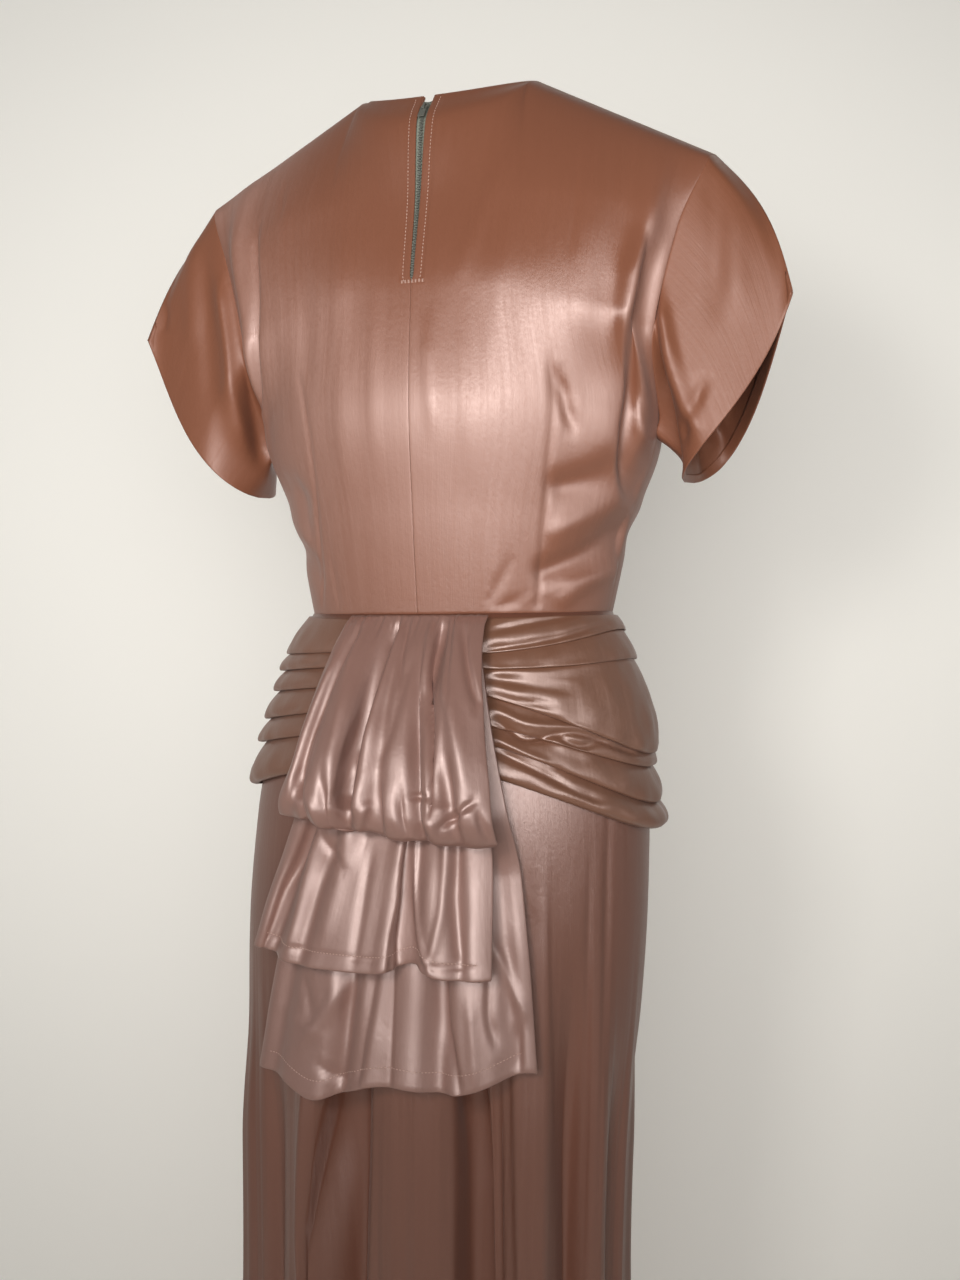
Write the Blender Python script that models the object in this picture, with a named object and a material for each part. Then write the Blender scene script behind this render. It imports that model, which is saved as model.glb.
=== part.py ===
"""Bustle evening gown in satin, open and hollow as it is worn.

The back bodice closes with a short zip at the nape. Three gathered tiers hang
from the waist at the centre back, and pleated drapes wrap the hips under them.
Metres, +Z up, the front faces -Y and +X is the wearer's left. The origin lies
between the shoulders, at the base of the neck.
"""

import math
from collections import namedtuple

import bmesh
import bpy
import numpy as np
from mathutils import Matrix, Vector

# Driving sizes of the cloth and the seams
CLOTH = 0.0016
SEAM = 0.0004
SLEEVE_SEAM = 0.0014
PANEL_SEAM = 0.0003
SHOULDER_SEAM = 0.0008
LAYER = 0.0010

# Driving sizes of the cut
WAIST = -0.405
WAIST_DIP = 0.003
HEM = -1.460
NECK_HALF_WIDTH = 0.068
NECK_SIDE = (0.010, -0.006)
NECK_SHARE = 0.34
SHOULDER = (0.201, 0.002, -0.073)
UNDERARM_SHARE = 0.5

# The bodice: each level runs from its centre line to its side or armhole edge
Level = namedtuple("Level", "share centre_y centre_z side_x side_y side_z turn")
BACK_LEVELS = (
    Level(0.00, 0.086, WAIST - WAIST_DIP, 0.119, 0.000, WAIST, 90),
    Level(0.25, 0.095, -0.335, 0.133, 0.000, -0.345, 90),
    Level(0.50, 0.102, -0.250, 0.157, 0.000, -0.272, 90),
    Level(0.66, 0.098, -0.175, 0.165, 0.044, -0.205, 76),
    Level(0.82, 0.086, -0.105, 0.182, 0.042, -0.132, 68),
)
FRONT_LEVELS = (
    Level(0.00, -0.092, WAIST - WAIST_DIP, 0.119, 0.000, WAIST, 90),
    Level(0.25, -0.112, -0.335, 0.133, 0.000, -0.345, 90),
    Level(0.50, -0.126, -0.255, 0.157, 0.000, -0.272, 90),
    Level(0.66, -0.120, -0.195, 0.165, -0.050, -0.205, 76),
    Level(0.82, -0.108, -0.140, 0.182, -0.044, -0.132, 68),
)
ROLL_SHARE = 0.93
BODICE_ROWS = (0.0, 0.09, 0.18, 0.27, 0.36, 0.44, 0.52, 0.60, 0.68, 0.76, 0.82, 0.88, 0.93, 0.97, 1.0)
ROLL_OUT, ROLL_OUT_NECK = 0.026, 0.016
ROLL_DROP, ROLL_DROP_NECK = 0.009, 0.025
NECK_BACK = (0.064, -0.025, 1.3)
NECK_FRONT = (-0.080, -0.080, 1.0)
BUST_REACH = 0.016
BACK_FOLD = 0.007

# The zip slit at the nape
SLIT_HALF_GAP = 0.0042
SLIT_TOP = -0.024
SLIT_END = -0.168

# The sleeve hem: a lens that is sharp on top and round below
SLEEVE_TIP = (0.262, 0.032, -0.182)
SLEEVE_LOW = (0.176, 0.002, -0.311)
SLEEVE_BACK_BULGE = 0.032
SLEEVE_FRONT_BULGE = 0.058
SLEEVE_BOW = 0.011
LENS_PEAK = 3.5
SLEEVE_CROWN = 0.010

# The lower body: rings of the skirt before its folds
Ring = namedtuple("Ring", "height centre_x half_width back front")
RINGS = (
    Ring(-0.405, 0.000, 0.119, 0.086, 0.092),
    Ring(-0.450, 0.002, 0.137, 0.093, 0.099),
    Ring(-0.500, 0.006, 0.149, 0.098, 0.105),
    Ring(-0.560, 0.010, 0.158, 0.100, 0.109),
    Ring(-0.640, 0.015, 0.161, 0.098, 0.109),
    Ring(-0.760, 0.020, 0.157, 0.094, 0.107),
    Ring(-0.920, 0.022, 0.153, 0.094, 0.108),
    Ring(-1.200, 0.022, 0.184, 0.124, 0.132),
    Ring(-1.460, 0.022, 0.232, 0.176, 0.172),
)

# Skirt folds: degrees from the centre back, + towards the wearer's left
Fold = namedtuple("Fold", "angle drift spread depth start")
SKIRT_FOLDS = (
    Fold(0.0, 0.0, 7.0, 0.004, -0.62),
    Fold(17.0, 14.0, 5.5, -0.030, -0.62),
    Fold(30.0, 14.0, 6.0, 0.010, -0.62),
    Fold(-15.0, -5.0, 4.6, -0.028, -0.62),
    Fold(-24.0, -5.0, 3.4, -0.008, -0.62),
    Fold(-33.0, -5.0, 6.0, 0.009, -0.62),
    Fold(-46.0, -5.0, 5.0, -0.013, -0.62),
    Fold(-58.0, -4.0, 6.0, 0.008, -0.62),
    Fold(50.0, 8.0, 5.0, -0.010, -0.70),
    Fold(72.0, 2.0, 8.0, 0.007, -0.70),
    Fold(-70.0, -2.0, 7.0, -0.008, -0.70),
    Fold(-92.0, 0.0, 8.0, -0.007, -0.70),
    Fold(96.0, 2.0, 8.0, -0.009, -0.70),
    Fold(116.0, 0.0, 9.0, 0.009, -0.70),
    Fold(138.0, 0.0, 8.0, -0.010, -0.70),
    Fold(160.0, 0.0, 9.0, 0.009, -0.70),
    Fold(180.0, 0.0, 8.0, -0.007, -0.70),
    Fold(-160.0, 0.0, 9.0, 0.009, -0.70),
    Fold(-138.0, 0.0, 8.0, -0.010, -0.70),
    Fold(-112.0, 0.0, 9.0, 0.008, -0.70),
)
FOLD_FULL = -0.82
FOLDED_DEGREES = np.append(np.linspace(0, 48, 17)[:-1], np.linspace(48, 90, 8))
SKIRT_ROWS = (WAIST, -0.435, -0.475, -0.52, -0.57, -0.64, -0.70, -0.76, -0.83, -0.91, -1.02, -1.16, -1.31, HEM)
FOLD_HEM_GAIN = 1.7

# Hip drapes: how far down each fold's upper edge lies, as a share of the drape's height
Pleat = namedtuple("Pleat", "back side front swell_back swell_side swell_front")
DRAPE_RIGHT = (
    Pleat(0.00, 0.00, 0.00, 0.003, 0.002, 0.004),
    Pleat(0.21, 0.06, 0.17, 0.003, 0.003, 0.005),
    Pleat(0.32, 0.19, 0.33, 0.003, 0.009, 0.005),
    Pleat(0.47, 0.60, 0.50, 0.003, 0.005, 0.005),
    Pleat(0.66, 0.70, 0.67, 0.003, 0.007, 0.005),
    Pleat(0.78, 0.86, 0.84, 0.003, 0.011, 0.004),
)
DRAPE_LEFT = (
    Pleat(0.00, 0.00, 0.00, 0.003, 0.006, 0.004),
    Pleat(0.20, 0.20, 0.17, 0.003, 0.007, 0.005),
    Pleat(0.31, 0.31, 0.33, 0.003, 0.007, 0.005),
    Pleat(0.44, 0.43, 0.50, 0.003, 0.008, 0.005),
    Pleat(0.60, 0.59, 0.67, 0.003, 0.008, 0.005),
    Pleat(0.75, 0.73, 0.84, 0.003, 0.009, 0.004),
)
Edge = namedtuple("Edge", "back side front")
DRAPE_TOP = Edge(-0.4115, -0.4080, -0.4115)
DRAPE_LOW_RIGHT = Edge(-0.520, -0.566, -0.522)
DRAPE_LOW_LEFT = Edge(-0.520, -0.543, -0.522)
DRAPE_START = 20.0
DRAPE_FRONT_GAP = 0.25
DRAPE_COVER = 0.0085
COVER_ACROSS = (0.024, 0.040)
COVER_TOP = (-0.402, -0.416)
COVER_FOOT = (-0.600, -0.545)

# Bustle tiers: how far each stands off what lies under it, down its length
Drop = namedtuple("Drop", "share height stand_off half_width centre_x")
TIER_TOP = (
    Drop(0.00, -0.4090, 0.0068, 0.053, -0.002),
    Drop(0.12, -0.4320, 0.0190, 0.057, -0.001),
    Drop(0.34, -0.4720, 0.0350, 0.065, 0.000),
    Drop(0.58, -0.5180, 0.0470, 0.073, 0.000),
    Drop(0.76, -0.5490, 0.0510, 0.080, 0.003),
    Drop(0.86, -0.5640, 0.0460, 0.082, 0.004),
    Drop(0.92, -0.5670, 0.0385, 0.081, 0.004),
    Drop(1.00, -0.5550, 0.0335, 0.079, 0.003),
)
TIER_MIDDLE = (
    Drop(0.00, -0.4095, 0.0046, 0.050, 0.000),
    Drop(0.25, -0.4700, 0.0100, 0.058, 0.003),
    Drop(0.55, -0.5500, 0.0170, 0.074, 0.009),
    Drop(0.78, -0.6050, 0.0310, 0.086, 0.018),
    Drop(1.00, -0.6590, 0.0430, 0.095, 0.025),
)
TIER_LOW = (
    Drop(0.00, -0.4100, 0.0024, 0.048, 0.000),
    Drop(0.25, -0.4900, 0.0048, 0.064, 0.002),
    Drop(0.50, -0.5700, 0.0080, 0.082, 0.005),
    Drop(0.78, -0.6600, 0.0200, 0.098, 0.011),
    Drop(1.00, -0.7420, 0.0300, 0.109, 0.016),
)
Gather = namedtuple("Gather", "top bottom spread depth")
GATHERS_TOP = (
    Gather(0.79, 0.86, 0.08, 0.005),
    Gather(0.36, 0.31, 0.07, 0.010),
    Gather(0.09, 0.06, 0.08, 0.004),
    Gather(-0.21, -0.41, 0.07, 0.010),
    Gather(-0.48, -0.72, 0.09, 0.005),
)
GATHERS_MIDDLE = (
    Gather(0.72, 0.80, 0.08, 0.011),
    Gather(0.42, 0.50, 0.07, 0.004),
    Gather(-0.22, -0.38, 0.12, 0.012),
    Gather(-0.62, -0.78, 0.07, 0.005),
)
GATHERS_LOW = (
    Gather(0.78, 0.84, 0.09, 0.006),
    Gather(0.25, 0.30, 0.09, 0.011),
    Gather(-0.05, -0.06, 0.08, 0.003),
    Gather(-0.32, -0.40, 0.09, 0.011),
    Gather(-0.80, -0.86, 0.08, 0.007),
)
LOOSE_TOP = (0.0, 0.5)
LOOSE_UNDER = (0.35, 0.90)
Dip = namedtuple("Dip", "across spread drop")
HEM_TOP = (Dip(1.0, 0.60, -0.014), Dip(-0.9, 0.40, 0.003), Dip(0.15, 0.15, -0.005))
HEM_MIDDLE = (Dip(1.0, 0.30, -0.008), Dip(-0.40, 0.12, -0.007), Dip(-0.85, 0.25, 0.003))
HEM_LOW = (Dip(0.48, 0.28, 0.016), Dip(-0.95, 0.20, -0.012), Dip(-0.45, 0.20, 0.004), Dip(1.0, 0.15, 0.002))
SIDE_CURL = 0.005

# The zip: a corrugated tape, a slider and a pull
Rib = namedtuple("Rib", "x sink")
TAPE_SECTION = (
    Rib(-0.0110, 0.0022),
    Rib(-0.0080, 0.0018),
    Rib(-0.0045, 0.0026),
    Rib(-0.0019, 0.0026),
    Rib(-0.0013, 0.0006),
    Rib(0.0013, 0.0006),
    Rib(0.0019, 0.0026),
    Rib(0.0045, 0.0026),
    Rib(0.0080, 0.0018),
    Rib(0.0110, 0.0022),
)
TAPE_ENDS = (-0.0285, -0.1760)
TAPE_THICKNESS = 0.0008
NAPE_SAMPLES = 80
SLIDER_HEIGHT = -0.036
SLIDER_HALF_WIDTH = 0.0026
SLIDER_HALF_LENGTH = 0.0042
SLIDER_FACE = -0.0004
SLIDER_THICKNESS = 0.0014
BRIDGE_HALF_WIDTH = 0.0008
BRIDGE_HALF_SPAN = 0.0029
BRIDGE_POST = 0.0006
BRIDGE_UNDERSIDE = 0.0013
BRIDGE_RISE = 0.0022
PULL_AXIS = 0.0004
PULL_HALF_THICKNESS = 0.0004
PULL_HALF_WIDTH = 0.0025
PULL_ARM_WIDTH = 0.0012
PULL_NECK = 0.0038
PULL_LENGTH = 0.0115


def clear_scene():
    """Empties the file, so that the gown is all it holds."""
    for obj in list(bpy.data.objects):
        bpy.data.objects.remove(obj)


def column(rows, name):
    """One named column of a table as an array."""
    return np.array([getattr(row, name) for row in rows], float)


def through(knots, values, at):
    """A curve through values at knots that never overshoots: cubic pieces, each slope the harmonic mean beside it."""
    order = np.argsort(knots)
    knots = np.asarray(knots, float)[order]
    values = np.asarray(values, float)[order]
    gaps = np.diff(knots).reshape((-1,) + (1,) * (values.ndim - 1))
    steps = np.diff(values, axis=0) / gaps
    same_way = steps[:-1] * steps[1:] > 0
    total = np.where(same_way, steps[:-1] + steps[1:], 1)
    inner = np.where(same_way, 2 * steps[:-1] * steps[1:] / total, 0)
    slopes = np.concatenate([steps[:1], inner, steps[-1:]])
    at = np.clip(np.asarray(at, float), knots[0], knots[-1])
    place = np.clip(np.searchsorted(knots, at) - 1, 0, len(knots) - 2)
    span = knots[place + 1] - knots[place]
    s = (at - knots[place]) / span
    if values.ndim > 1:
        grow = (slice(None),) * s.ndim + (None,) * (values.ndim - 1)
        s, span = s[grow], span[grow]
    return (
        values[place] * (1 + 2 * s) * (1 - s) ** 2
        + slopes[place] * span * s * (1 - s) ** 2
        + values[place + 1] * s**2 * (3 - 2 * s)
        + slopes[place + 1] * span * s**2 * (s - 1)
    )


def ramp(value, start, end):
    """0 before start, 1 after end, smooth between."""
    s = np.clip((np.asarray(value, float) - start) / (end - start), 0, 1)
    return s * s * (3 - 2 * s)


def hump(value, centre, spread):
    """A bell of height 1 round centre."""
    return np.exp(-(((value - centre) / spread) ** 2))


def neck_and_shoulder(share, neck_y, neck_z, power):
    """The top edge of a bodice half: a quarter of the neckline, then the shoulder seam."""
    turn = np.clip(share / NECK_SHARE, 0, 1) * math.pi / 2
    side_y, side_z = NECK_SIDE
    neck = np.stack(
        [
            NECK_HALF_WIDTH * np.sin(turn),
            side_y + (neck_y - side_y) * np.cos(turn),
            side_z + (neck_z - side_z) * np.cos(turn) ** power,
        ],
        axis=-1,
    )
    along = np.clip((share - NECK_SHARE) / (1 - NECK_SHARE), 0, 1)[..., None]
    side = np.array([NECK_HALF_WIDTH, *NECK_SIDE])
    return neck + (np.array(SHOULDER) - side) * along


def shoulder_roll(share, neck_y, neck_z, power):
    """The row just below the top edge, where the cloth rolls over the shoulder and up to the neck."""
    near_centre = np.cos(np.clip(share / NECK_SHARE, 0, 1) * math.pi / 2)
    out = ROLL_OUT + (ROLL_OUT_NECK - ROLL_OUT) * near_centre
    drop = ROLL_DROP + (ROLL_DROP_NECK - ROLL_DROP) * near_centre
    shift = np.stack([0 * out, math.copysign(1, neck_y) * out, -drop], axis=-1)
    return neck_and_shoulder(share, neck_y, neck_z, power) + shift


def bodice_half(levels, neck, share, up):
    """Points of a bodice half: share 0 to 1 from the centre to the side, up 0 to 1 from the waist to the shoulder."""
    rows = []
    for level in levels:
        end = math.radians(level.turn)
        turn = end * share
        round_off = (np.cos(turn) - math.cos(end)) / (1 - math.cos(end))
        rows.append(
            np.stack(
                [
                    level.side_x * np.sin(turn) / math.sin(end),
                    level.side_y + (level.centre_y - level.side_y) * round_off,
                    level.centre_z + (level.side_z - level.centre_z) * share**2,
                ],
                axis=-1,
            )
        )
    rows.append(shoulder_roll(share, *neck))
    rows.append(neck_and_shoulder(share, *neck))
    return through([*column(levels, "share"), ROLL_SHARE, 1.0], np.array(rows), up)


def back_panel(side, share, up):
    """Half of the back bodice, with the soft fold that stands beside the armhole."""
    points = bodice_half(BACK_LEVELS, NECK_BACK, share, up)
    points = np.moveaxis(points, 0, 1)
    across, rise = np.meshgrid(share, up, indexing="ij")
    fold = BACK_FOLD * hump(across, 0.84, 0.07) * ramp(rise, 0.35, 0.55) * ramp(rise, 0.98, 0.80)
    points[..., 0] += fold * 0.5
    points[..., 1] += fold * 0.8
    half_gap = SLIT_HALF_GAP * np.clip((points[..., 2] - SLIT_END) / (SLIT_TOP - SLIT_END), 0, 1)
    near_slit = 1 - ramp(across, 0.0, 0.30)
    points[..., 0] += np.maximum(half_gap, 0) * near_slit
    points[..., 0] *= side
    return points


def front_panel(share, up):
    """The whole front bodice: share runs -1 to 1 from the wearer's right to the left."""
    points = np.moveaxis(bodice_half(FRONT_LEVELS, NECK_FRONT, np.abs(share), up), 0, 1)
    across, rise = np.meshgrid(np.abs(share), up, indexing="ij")
    points[..., 1] -= BUST_REACH * hump(across, 0.42, 0.30) * hump(rise, 0.50, 0.24)
    points[..., 0] *= np.sign(share)[:, None]
    return points


def armhole(around):
    """The armhole's edge: 0 at the shoulder, down the back to 0.5 at the underarm, and up the front."""
    up = np.maximum(1 - around, around)
    end = np.ones(1)
    back = bodice_half(BACK_LEVELS, NECK_BACK, end, up)[:, 0]
    front = bodice_half(FRONT_LEVELS, NECK_FRONT, end, up)[:, 0]
    return np.where((around <= UNDERARM_SHARE)[:, None], back, front)


def sleeve(side, around, out):
    """A cap sleeve: straight lines from the armhole to the hem lens, crowned over the shoulder."""
    low = 1 - np.abs(1 - 2 * around)
    bulge = np.where(around <= UNDERARM_SHARE, SLEEVE_BACK_BULGE, -SLEEVE_FRONT_BULGE)
    hem = np.outer(1 - low, SLEEVE_TIP) + np.outer(low, SLEEVE_LOW)
    hem[:, 1] += bulge * LENS_PEAK * low**2 * np.sqrt(1 - low)
    across = np.subtract(SLEEVE_LOW, SLEEVE_TIP)[[2, 0]] / np.linalg.norm(np.subtract(SLEEVE_LOW, SLEEVE_TIP))
    hem[:, [0, 2]] += SLEEVE_BOW * (4 * low * (1 - low))[:, None] * across * (-1, 1)
    head = armhole(around)
    points = head[:, None] + (hem - head)[:, None] * out[None, :, None]
    crown = SLEEVE_CROWN * np.cos(math.pi / 2 * low)[:, None] * np.sin(math.pi * out)[None, :]
    points[..., 0] += 0.8 * crown
    points[..., 2] += 0.6 * crown
    points[..., 0] *= side
    return points


def ring_sizes(height):
    """The skirt's centre, half width, back and front depth at a height."""
    heights = column(RINGS, "height")
    return [through(heights, column(RINGS, name), height) for name in Ring._fields[1:]]


def lower_body(angle, height, stand_off):
    """A point round the skirt's plain form, moved out square to it. angle is in radians from the centre back."""
    centre_x, half_width, back, front = ring_sizes(height)
    depth = np.where(np.cos(angle) >= 0, back, front)
    normal = np.stack([np.sin(angle) * depth, np.cos(angle) * half_width], axis=-1)
    normal /= np.linalg.norm(normal, axis=-1, keepdims=True)
    return np.stack(
        [
            centre_x + half_width * np.sin(angle) + stand_off * normal[..., 0],
            depth * np.cos(angle) + stand_off * normal[..., 1],
            height + 0 * angle,
        ],
        axis=-1,
    )


def skirt_folds(degrees, height):
    """How far the skirt stands out of its plain form: bells that grow from each fold's start to the hem."""
    total = np.zeros(np.broadcast(degrees, height).shape)
    down = ramp(height, FOLD_FULL, HEM)
    for fold in SKIRT_FOLDS:
        away = (degrees - fold.angle - fold.drift * (fold.start - height) / (fold.start - HEM) + 180) % 360 - 180
        grown = ramp(height, fold.start, FOLD_FULL) * (1 + (FOLD_HEM_GAIN - 1) * down)
        total += fold.depth * grown * hump(away, 0, fold.spread * (1 + 0.25 * down))
    return total


def waist_height(degrees):
    """The waist seam, which dips a little at the centre back and the centre front."""
    quarter = 1 - np.abs(1 - np.abs(degrees) / 90)
    return WAIST - WAIST_DIP * (1 - quarter**2)


def skirt(degrees, down):
    """Part of the skirt: degrees round from the centre back, down 0 to 1 from the waist seam to the hem.
    It turns a little on the figure, so that its centre back seam hangs straight down."""
    angle, share = np.meshgrid(np.radians(degrees), down, indexing="ij")
    top = waist_height(np.degrees(angle))
    height = top + (HEM - top) * share
    centre_x, half_width, _, _ = ring_sizes(height)
    stand = skirt_folds(np.degrees(angle), height)
    return lower_body(angle - np.arcsin(centre_x / half_width), height, stand)


def drape_edge(edge, degrees):
    """A value along the drape, from its back end by the side to the centre front."""
    values = [getattr(edge, name) for name in Edge._fields]
    return through([DRAPE_START, 90.0, 180.0], values, degrees)


def drape(side, pleats, low_edge, degrees, steps):
    """A pleated hip drape. Across it, each pleat swells from its upper edge and drops in to the next."""
    top, low = drape_edge(DRAPE_TOP, degrees), drape_edge(low_edge, degrees)
    uppers = [through([DRAPE_START, 90, 180], [p.back, p.side, p.front], degrees) for p in pleats]
    uppers.append(np.ones_like(degrees))
    swells = [
        through([DRAPE_START, 90, 180], [p.swell_back, p.swell_side, p.swell_front], degrees)
        for p in pleats
    ]
    shares, swell = [], []
    for number in range(len(pleats)):
        for step in steps:
            shares.append(uppers[number] + (uppers[number + 1] - uppers[number]) * step)
            swell.append(swells[number] * math.sin(math.pi * step**1.4) ** 0.8)
    shares.append(uppers[-1])
    swell.append(np.zeros_like(degrees))
    share, swell = np.array(shares).T, np.array(swell).T
    height = top[:, None] + (low - top)[:, None] * share
    angle = np.radians(degrees)[:, None] * side + 0 * share
    return lower_body(angle, height, CLOTH + LAYER + swell)


def under_tiers(x, height):
    """The back surface that the tiers lie over: the plain skirt, and the drapes' ends beside the centre."""
    centre_x, half_width, back, _ = ring_sizes(height)
    plain = back * np.sqrt(np.clip(1 - ((x - centre_x) / half_width) ** 2, 0.05, 1))
    beside = ramp(np.abs(x), *COVER_ACROSS)
    level = ramp(height, *COVER_TOP) * ramp(height, *COVER_FOOT)
    return plain + DRAPE_COVER * beside * level


def tier(drops, gathers, loose, dips, across, down):
    """A gathered tier: across -1 to 1 from the wearer's right to the left, down 0 to 1 to its lower edge.
    Its gathers deepen between the two shares in loose."""
    shares = column(drops, "share")
    height, stand, half, centre = (
        through(shares, column(drops, name), down) for name in Drop._fields[1:]
    )
    x = centre[None, :] + half[None, :] * across[:, None]
    z = np.broadcast_to(height[None, :], x.shape).copy()
    grown = ramp(down, *loose)[None, :]
    y = under_tiers(x, z) + stand[None, :]
    for gather in gathers:
        line = gather.top + (gather.bottom - gather.top) * down[None, :]
        y = y - gather.depth * grown * hump(across[:, None], line, gather.spread)
    y = y - SIDE_CURL * (np.abs(across)[:, None] ** 10) * grown
    for dip in dips:
        z -= dip.drop * hump(across[:, None], dip.across, dip.spread) * ramp(down, 0.3, 1.0)[None, :]
    return np.stack([x, y, z], axis=-1)


def pull_in(points, start=0.0, end=0.0, low=0.0, high=0.0):
    """Moves a grid's edge rows and columns towards their neighbours, to leave the seam gaps."""
    points = points.copy()
    for index, inner, amount in ((0, 1, start), (-1, -2, end)):
        step = points[inner] - points[index]
        points[index] += step * (amount / np.linalg.norm(step, axis=-1, keepdims=True))
    for index, inner, amount in ((0, 1, low), (-1, -2, high)):
        step = points[:, inner] - points[:, index]
        points[:, index] += step * (amount / np.linalg.norm(step, axis=-1, keepdims=True))
    return points


def material(name, colour, roughness, metallic=0.0):
    """A plain surface of one colour."""
    made = bpy.data.materials.get(name)
    if made:
        return made
    made = bpy.data.materials.new(name)
    made.use_nodes = True
    shader = made.node_tree.nodes["Principled BSDF"]
    shader.inputs["Base Color"].default_value = (*colour, 1.0)
    shader.inputs["Roughness"].default_value = roughness
    shader.inputs["Metallic"].default_value = metallic
    return made


def satin():
    return material("satin", (0.33, 0.16, 0.12), 0.35)


def zip_tape_cloth():
    return material("zip_tape", (0.19, 0.20, 0.17), 0.80)


def zip_metal():
    return material("zip_metal", (0.30, 0.31, 0.28), 0.45, 0.6)


def add_object(name, vertices, faces, finish):
    """One named mesh object at the origin."""
    mesh = bpy.data.meshes.new(name)
    mesh.from_pydata(vertices, [], faces)
    mesh.validate()
    mesh.materials.append(finish)
    obj = bpy.data.objects.new(name, mesh)
    bpy.context.scene.collection.objects.link(obj)
    return obj


def wall(name, points, finish, thickness=CLOTH, closed=False, outward=(0, 0)):
    """A sheet of cloth from a grid of outer points, thickened inwards. outward is the centre that it faces away from."""
    rows, columns = points.shape[:2]
    number = np.arange(rows * columns).reshape(rows, columns)
    after = np.roll(number, -1, axis=0) if closed else number[1:]
    first = number if closed else number[:-1]
    faces = np.stack([first[:, :-1], after[:, :-1], after[:, 1:], first[:, 1:]], axis=-1).reshape(-1, 4)
    flat = points.reshape(-1, 3)
    corners = flat[faces]
    normals = np.cross(corners[:, 2] - corners[:, 0], corners[:, 3] - corners[:, 1])
    away = corners.mean(axis=1)[:, :2] - np.array(outward)
    if (normals[:, :2] * away).sum() < 0:
        faces = faces[:, ::-1]
    obj = add_object(name, flat.tolist(), faces.tolist(), finish)
    obj.data.shade_smooth()
    solid = obj.modifiers.new("Cloth", "SOLIDIFY")
    solid.thickness = thickness
    solid.offset = -1.0
    solid.use_even_offset = False
    return obj


def build_bodice():
    up = np.array(BODICE_ROWS)
    half = np.append(np.linspace(0, NECK_SHARE, 6)[:-1], np.linspace(NECK_SHARE, 1, 8))
    for name, side in (("bodice_back_left", 1), ("bodice_back_right", -1)):
        points = back_panel(side, half, up)
        wall(name, pull_in(points, start=SEAM / 2, end=SEAM / 2, high=SHOULDER_SEAM), satin())
    points = front_panel(np.append(-half[:0:-1], half), up)
    wall("bodice_front", pull_in(points, start=SEAM / 2, end=SEAM / 2, high=SHOULDER_SEAM), satin())


def build_sleeves():
    around = np.linspace(0, 1, 24, endpoint=False)
    out = np.linspace(0, 1, 7)
    for name, side in (("sleeve_left", 1), ("sleeve_right", -1)):
        points = pull_in(sleeve(side, around, out), low=SLEEVE_SEAM)
        wall(name, points, satin(), closed=True, outward=(side * 0.20, 0.0))


def build_skirt():
    heights = np.array(SKIRT_ROWS)
    down = (heights[0] - heights) / (heights[0] - heights[-1])
    panels = (
        ("skirt_back_left", FOLDED_DEGREES),
        ("skirt_back_right", -FOLDED_DEGREES[::-1]),
        ("skirt_front", np.linspace(90, 270, 31)),
    )
    for name, degrees in panels:
        points = pull_in(skirt(degrees, down), start=PANEL_SEAM, end=PANEL_SEAM, low=SEAM)
        wall(name, points, satin())


def build_drapes():
    degrees = np.linspace(DRAPE_START, 180 - DRAPE_FRONT_GAP, 18)
    steps = (0.0, 0.3, 0.6, 0.85)
    wall("hip_drape_left", drape(1, DRAPE_LEFT, DRAPE_LOW_LEFT, degrees, steps), satin())
    wall("hip_drape_right", drape(-1, DRAPE_RIGHT, DRAPE_LOW_RIGHT, degrees, steps), satin())


def build_tiers():
    across = np.linspace(-1, 1, 27)
    tiers = (
        ("bustle_tier_top", TIER_TOP, GATHERS_TOP, LOOSE_TOP, HEM_TOP, 14),
        ("bustle_tier_middle", TIER_MIDDLE, GATHERS_MIDDLE, LOOSE_UNDER, HEM_MIDDLE, 8),
        ("bustle_tier_low", TIER_LOW, GATHERS_LOW, LOOSE_UNDER, HEM_LOW, 9),
    )
    for name, drops, gathers, loose, dips, rows in tiers:
        points = tier(drops, gathers, loose, dips, across, np.linspace(0, 1, rows))
        wall(name, points, satin(), outward=(0.0, -1.0))


def nape_frame(height):
    """A point of the centre back line at a height, with the way down along it and the way out of it."""
    up = np.linspace(UNDERARM_SHARE, 1, NAPE_SAMPLES)
    line = bodice_half(BACK_LEVELS, NECK_BACK, np.zeros(1), up)[:, 0]
    way = np.gradient(line, axis=0)
    y, z, step_y, step_z = (
        np.interp(height, line[:, 2], values) for values in (line[:, 1], line[:, 2], way[:, 1], way[:, 2])
    )
    down = -Vector((0.0, step_y, step_z)).normalized()
    return Vector((0.0, y, z)), down, Vector((0.0, -down.z, down.y))


def build_zip_tape():
    """The tape behind the slit: its sides lie against the bodice and the closed chain stands up along its middle."""
    x = [row.x for row in TAPE_SECTION]
    sink = [row.sink for row in TAPE_SECTION]
    beside = bodice_half(BACK_LEVELS, NECK_BACK, np.zeros(1), np.array(BODICE_ROWS))[:, 0, 2]
    beside = beside[(beside < TAPE_ENDS[0] - LAYER) & (beside > TAPE_ENDS[1] + LAYER)]
    rows = []
    for height in [*TAPE_ENDS[:1], *beside[::-1], *TAPE_ENDS[1:]]:
        point, _, out = nape_frame(height)
        rows.append([(side, *(point - out * (CLOTH + depth))[1:]) for side, depth in zip(x, sink)])
    wall("zip_tape", np.array(rows), zip_tape_cloth(), TAPE_THICKNESS, outward=(0.0, -1.0))


def zip_place():
    """The slider's frame: X across, Y up along the centre back and Z out of it."""
    point, down, out = nape_frame(SLIDER_HEIGHT)
    place = Matrix((Vector((-1, 0, 0)), -down, out)).transposed().to_4x4()
    place.translation = point
    return place


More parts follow.
